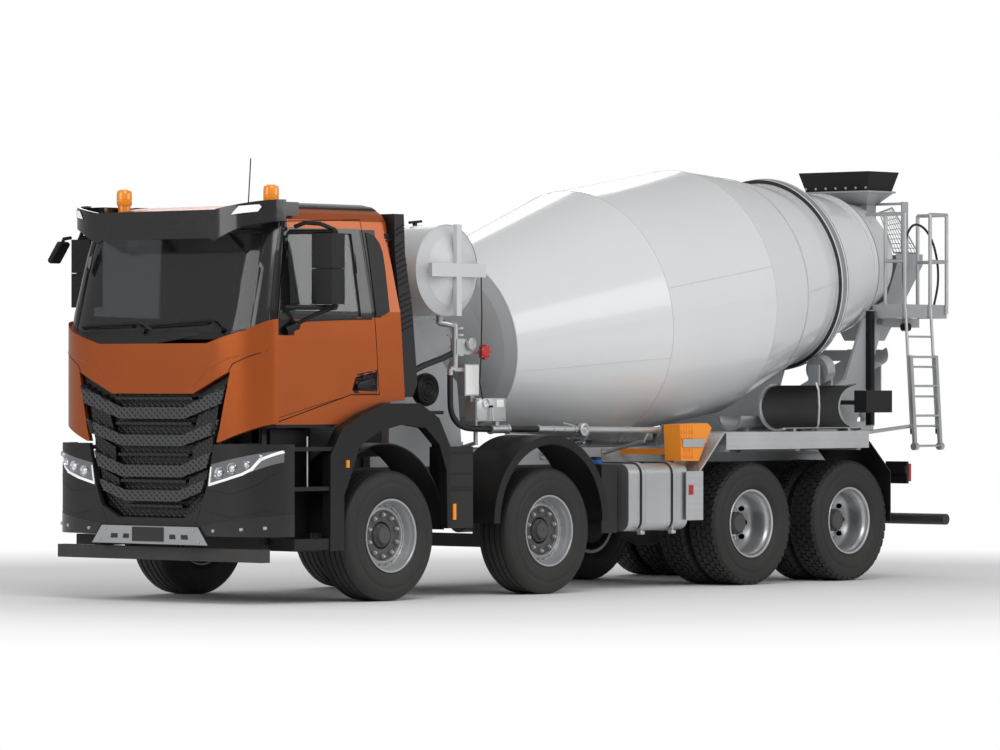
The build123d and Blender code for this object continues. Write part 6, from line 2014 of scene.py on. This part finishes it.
def hose(name: str, route: Sequence[Sequence[float]], diameter: float, palette: Palette) -> Piece:
    """Makes one hose as a smooth curve that replaces its node.

    Args:
        name: The node that it stands for.
        route: Its control points in millimetres: X, distance behind the first axle, Z.
        diameter: Its diameter in metres.
        palette: The finishes.

    Returns:
        The hose.
    """
    curve = bpy.data.curves.new(f"{name}_line", "CURVE")
    curve.dimensions = "3D"
    curve.bevel_depth = diameter / 2
    curve.bevel_resolution = 4
    curve.use_fill_caps = True
    spline = curve.splines.new("NURBS")
    points = [mm(*point) for point in route]
    spline.points.add(len(points) - 1)
    for spot, point in zip(spline.points, points):
        spot.co = (*point, 1.0)
    spline.order_u = 3
    spline.use_endpoint_u = True
    spline.resolution_u = 12
    piece = bpy.data.objects.new(f"{name}_dressed", curve)
    bpy.context.scene.collection.objects.link(piece)
    palette.paint(piece, "hose_rubber")
    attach(piece, "chassis")
    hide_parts(name)
    return piece


def cords(palette: Palette) -> None:
    """Args:
        palette: The finishes.
    """
    platform_route = (
        (862.0, 7300.0, 2433.0), (862.0, 7265.0, 2630.0), (862.0, 7262.0, 2860.0), (862.0, 7290.0, 3080.0),
        (862.0, 7400.0, 3215.0), (862.0, 7560.0, 3195.0), (862.0, 7695.0, 3080.0), (862.0, 7775.0, 2900.0),
        (862.0, 7795.0, 2720.0), (862.0, 7765.0, 2570.0), (862.0, 7710.0, 2435.0),
    )
    platform_hose = hose("platform_hose", platform_route, 0.022, palette)
    suction_route = (
        (950.0, 1020.0, 1819.7), (950.0, 1020.0, 1640.0), (950.0, 1030.0, 1500.0), (950.0, 1130.0, 1400.0),
        (950.0, 1290.0, 1373.0), (950.0, 1512.7, 1372.0),
    )
    suction_hose = hose("suction_hose", suction_route, 0.05, palette)


# Studio


@dataclass
class Studio:
    """The floor, the lights and the camera."""

    azimuth: float = 0.727924605
    pitch: float = -0.00178018931
    roll: float = 0.000435873644
    focal_px: float = 5239.8
    frame_px: int = 1000
    sensor_mm: float = 36.0
    place: Point = (29.905, -34.1212, 1.74377)
    floor_fade: Flat = (6.5, 11.0)

    def camera(self) -> None:
        """Makes the camera at the photograph's angle."""
        lens = bpy.data.cameras.new("camera")
        lens.sensor_width = self.sensor_mm
        lens.lens = self.focal_px / self.frame_px * self.sensor_mm
        lens.clip_end = 300.0
        camera = bpy.data.objects.new("camera", lens)
        back = Vector(
            (
                math.sin(self.azimuth) * math.cos(self.pitch),
                -math.cos(self.azimuth) * math.cos(self.pitch),
                math.sin(self.pitch),
            )
        )
        right = Vector((math.cos(self.azimuth), math.sin(self.azimuth), 0.0))
        up = back.cross(right)
        turned_right = right * math.cos(self.roll) + up * math.sin(self.roll)
        turned_up = up * math.cos(self.roll) - right * math.sin(self.roll)
        turn = Matrix((turned_right, turned_up, back)).transposed().to_4x4()
        camera.matrix_world = Matrix.Translation(Vector(self.place)) @ turn
        bpy.context.scene.collection.objects.link(camera)
        bpy.context.scene.camera = camera

    def floor(self) -> None:
        """Makes the pale floor."""
        mesh = bmesh.new()
        bmesh.ops.create_grid(mesh, x_segments=1, y_segments=1, size=120.0)
        floor = finished(mesh, "floor")
        material = bpy.data.materials.new("floor")
        material.use_nodes = True
        nodes = Nodes(material.node_tree)
        shader = nodes.tree.nodes["Principled BSDF"]
        nodes.fill(
            shader, {"Base Color": (0.93, 0.93, 0.93, 1.0), "Roughness": 0.9, "Specular IOR Level": 0.1},
        )
        reach = nodes.add("VectorMath", {0: nodes.place}, operation="LENGTH").outputs["Value"]
        near, far = self.floor_fade
        share = nodes.add("MapRange", {"From Min": near, "From Max": far, "Value": reach}).outputs["Result"]
        white = nodes.add("Emission").outputs["Emission"]
        shown = nodes.combine("MULTIPLY", share, nodes.add("LightPath").outputs["Is Camera Ray"])
        mixer = nodes.add("MixShader", {"Fac": shown, 1: shader.outputs["BSDF"], 2: white})
        nodes.fill(nodes.tree.nodes["Material Output"], {"Surface": mixer.outputs["Shader"]})
        floor.data.materials.append(material)

    def world(self) -> None:
        """Lights the whole scene softly, and shows white behind it."""
        world = bpy.data.worlds.new("world")
        bpy.context.scene.world = world
        world.use_nodes = True
        nodes = Nodes(world.node_tree)
        sky = nodes.tree.nodes["Background"]
        nodes.fill(sky, {"Color": WHITE, "Strength": 0.42})
        white = nodes.add("Background", {"Color": WHITE, "Strength": 1.0}).outputs["Background"]
        seen = nodes.add("LightPath").outputs["Is Camera Ray"]
        mixer = nodes.add("MixShader", {"Fac": seen, 1: sky.outputs["Background"], 2: white})
        nodes.fill(nodes.tree.nodes["World Output"], {"Surface": mixer.outputs["Shader"]})

    def lamp(self, name: str, place: Sequence[float], aim: Sequence[float], size: Flat, power: float) -> None:
        """Adds one soft box.

        Args:
            name: Its name.
            place: Where it is.
            aim: The point that it faces.
            size: Its width and height.
            power: Its power in watts.
        """
        light = bpy.data.lights.new(name, "AREA")
        light.shape = "RECTANGLE"
        light.size, light.size_y = size
        light.energy = power
        lamp = bpy.data.objects.new(name, light)
        lamp.location = place
        lamp.rotation_euler = (Vector(place) - Vector(aim)).to_track_quat("Z", "Y").to_euler()
        bpy.context.scene.collection.objects.link(lamp)

    def build(self) -> None:
        """Makes the camera, the floor and the lights."""
        self.camera()
        self.floor()
        self.world()
        self.lamp("key", (9.0, -9.0, 11.0), (0.0, -0.5, 1.5), (9.0, 7.0), 700.0)
        self.lamp("side", (13.0, 4.0, 6.0), (0.0, 1.0, 1.8), (12.0, 5.0), 420.0)
        self.lamp("front", (-3.0, -14.0, 5.0), (0.0, -4.0, 1.8), (7.0, 5.0), 260.0)
        self.lamp("rim", (-10.0, 8.0, 9.0), (0.0, 1.0, 2.0), (8.0, 6.0), 350.0)
        view = bpy.context.scene.view_settings
        view.view_transform = "Standard"


def main() -> None:
    """Builds the truck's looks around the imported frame."""
    logging.basicConfig(level=logging.INFO, format="%(message)s")
    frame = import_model()
    Studio().build()
    palette = Palette()
    dress_nodes(frame["nodes"], palette)
    Wheels(palette).build()
    for assembly in (CabTrim, Nose, MirrorArms, Steps, TankGroup, DrumTrim, SideGear, RearEnd):
        assembly(palette, nodes=frame["nodes"]).build()
    cords(palette)


if __name__ == "__main__":
    main()
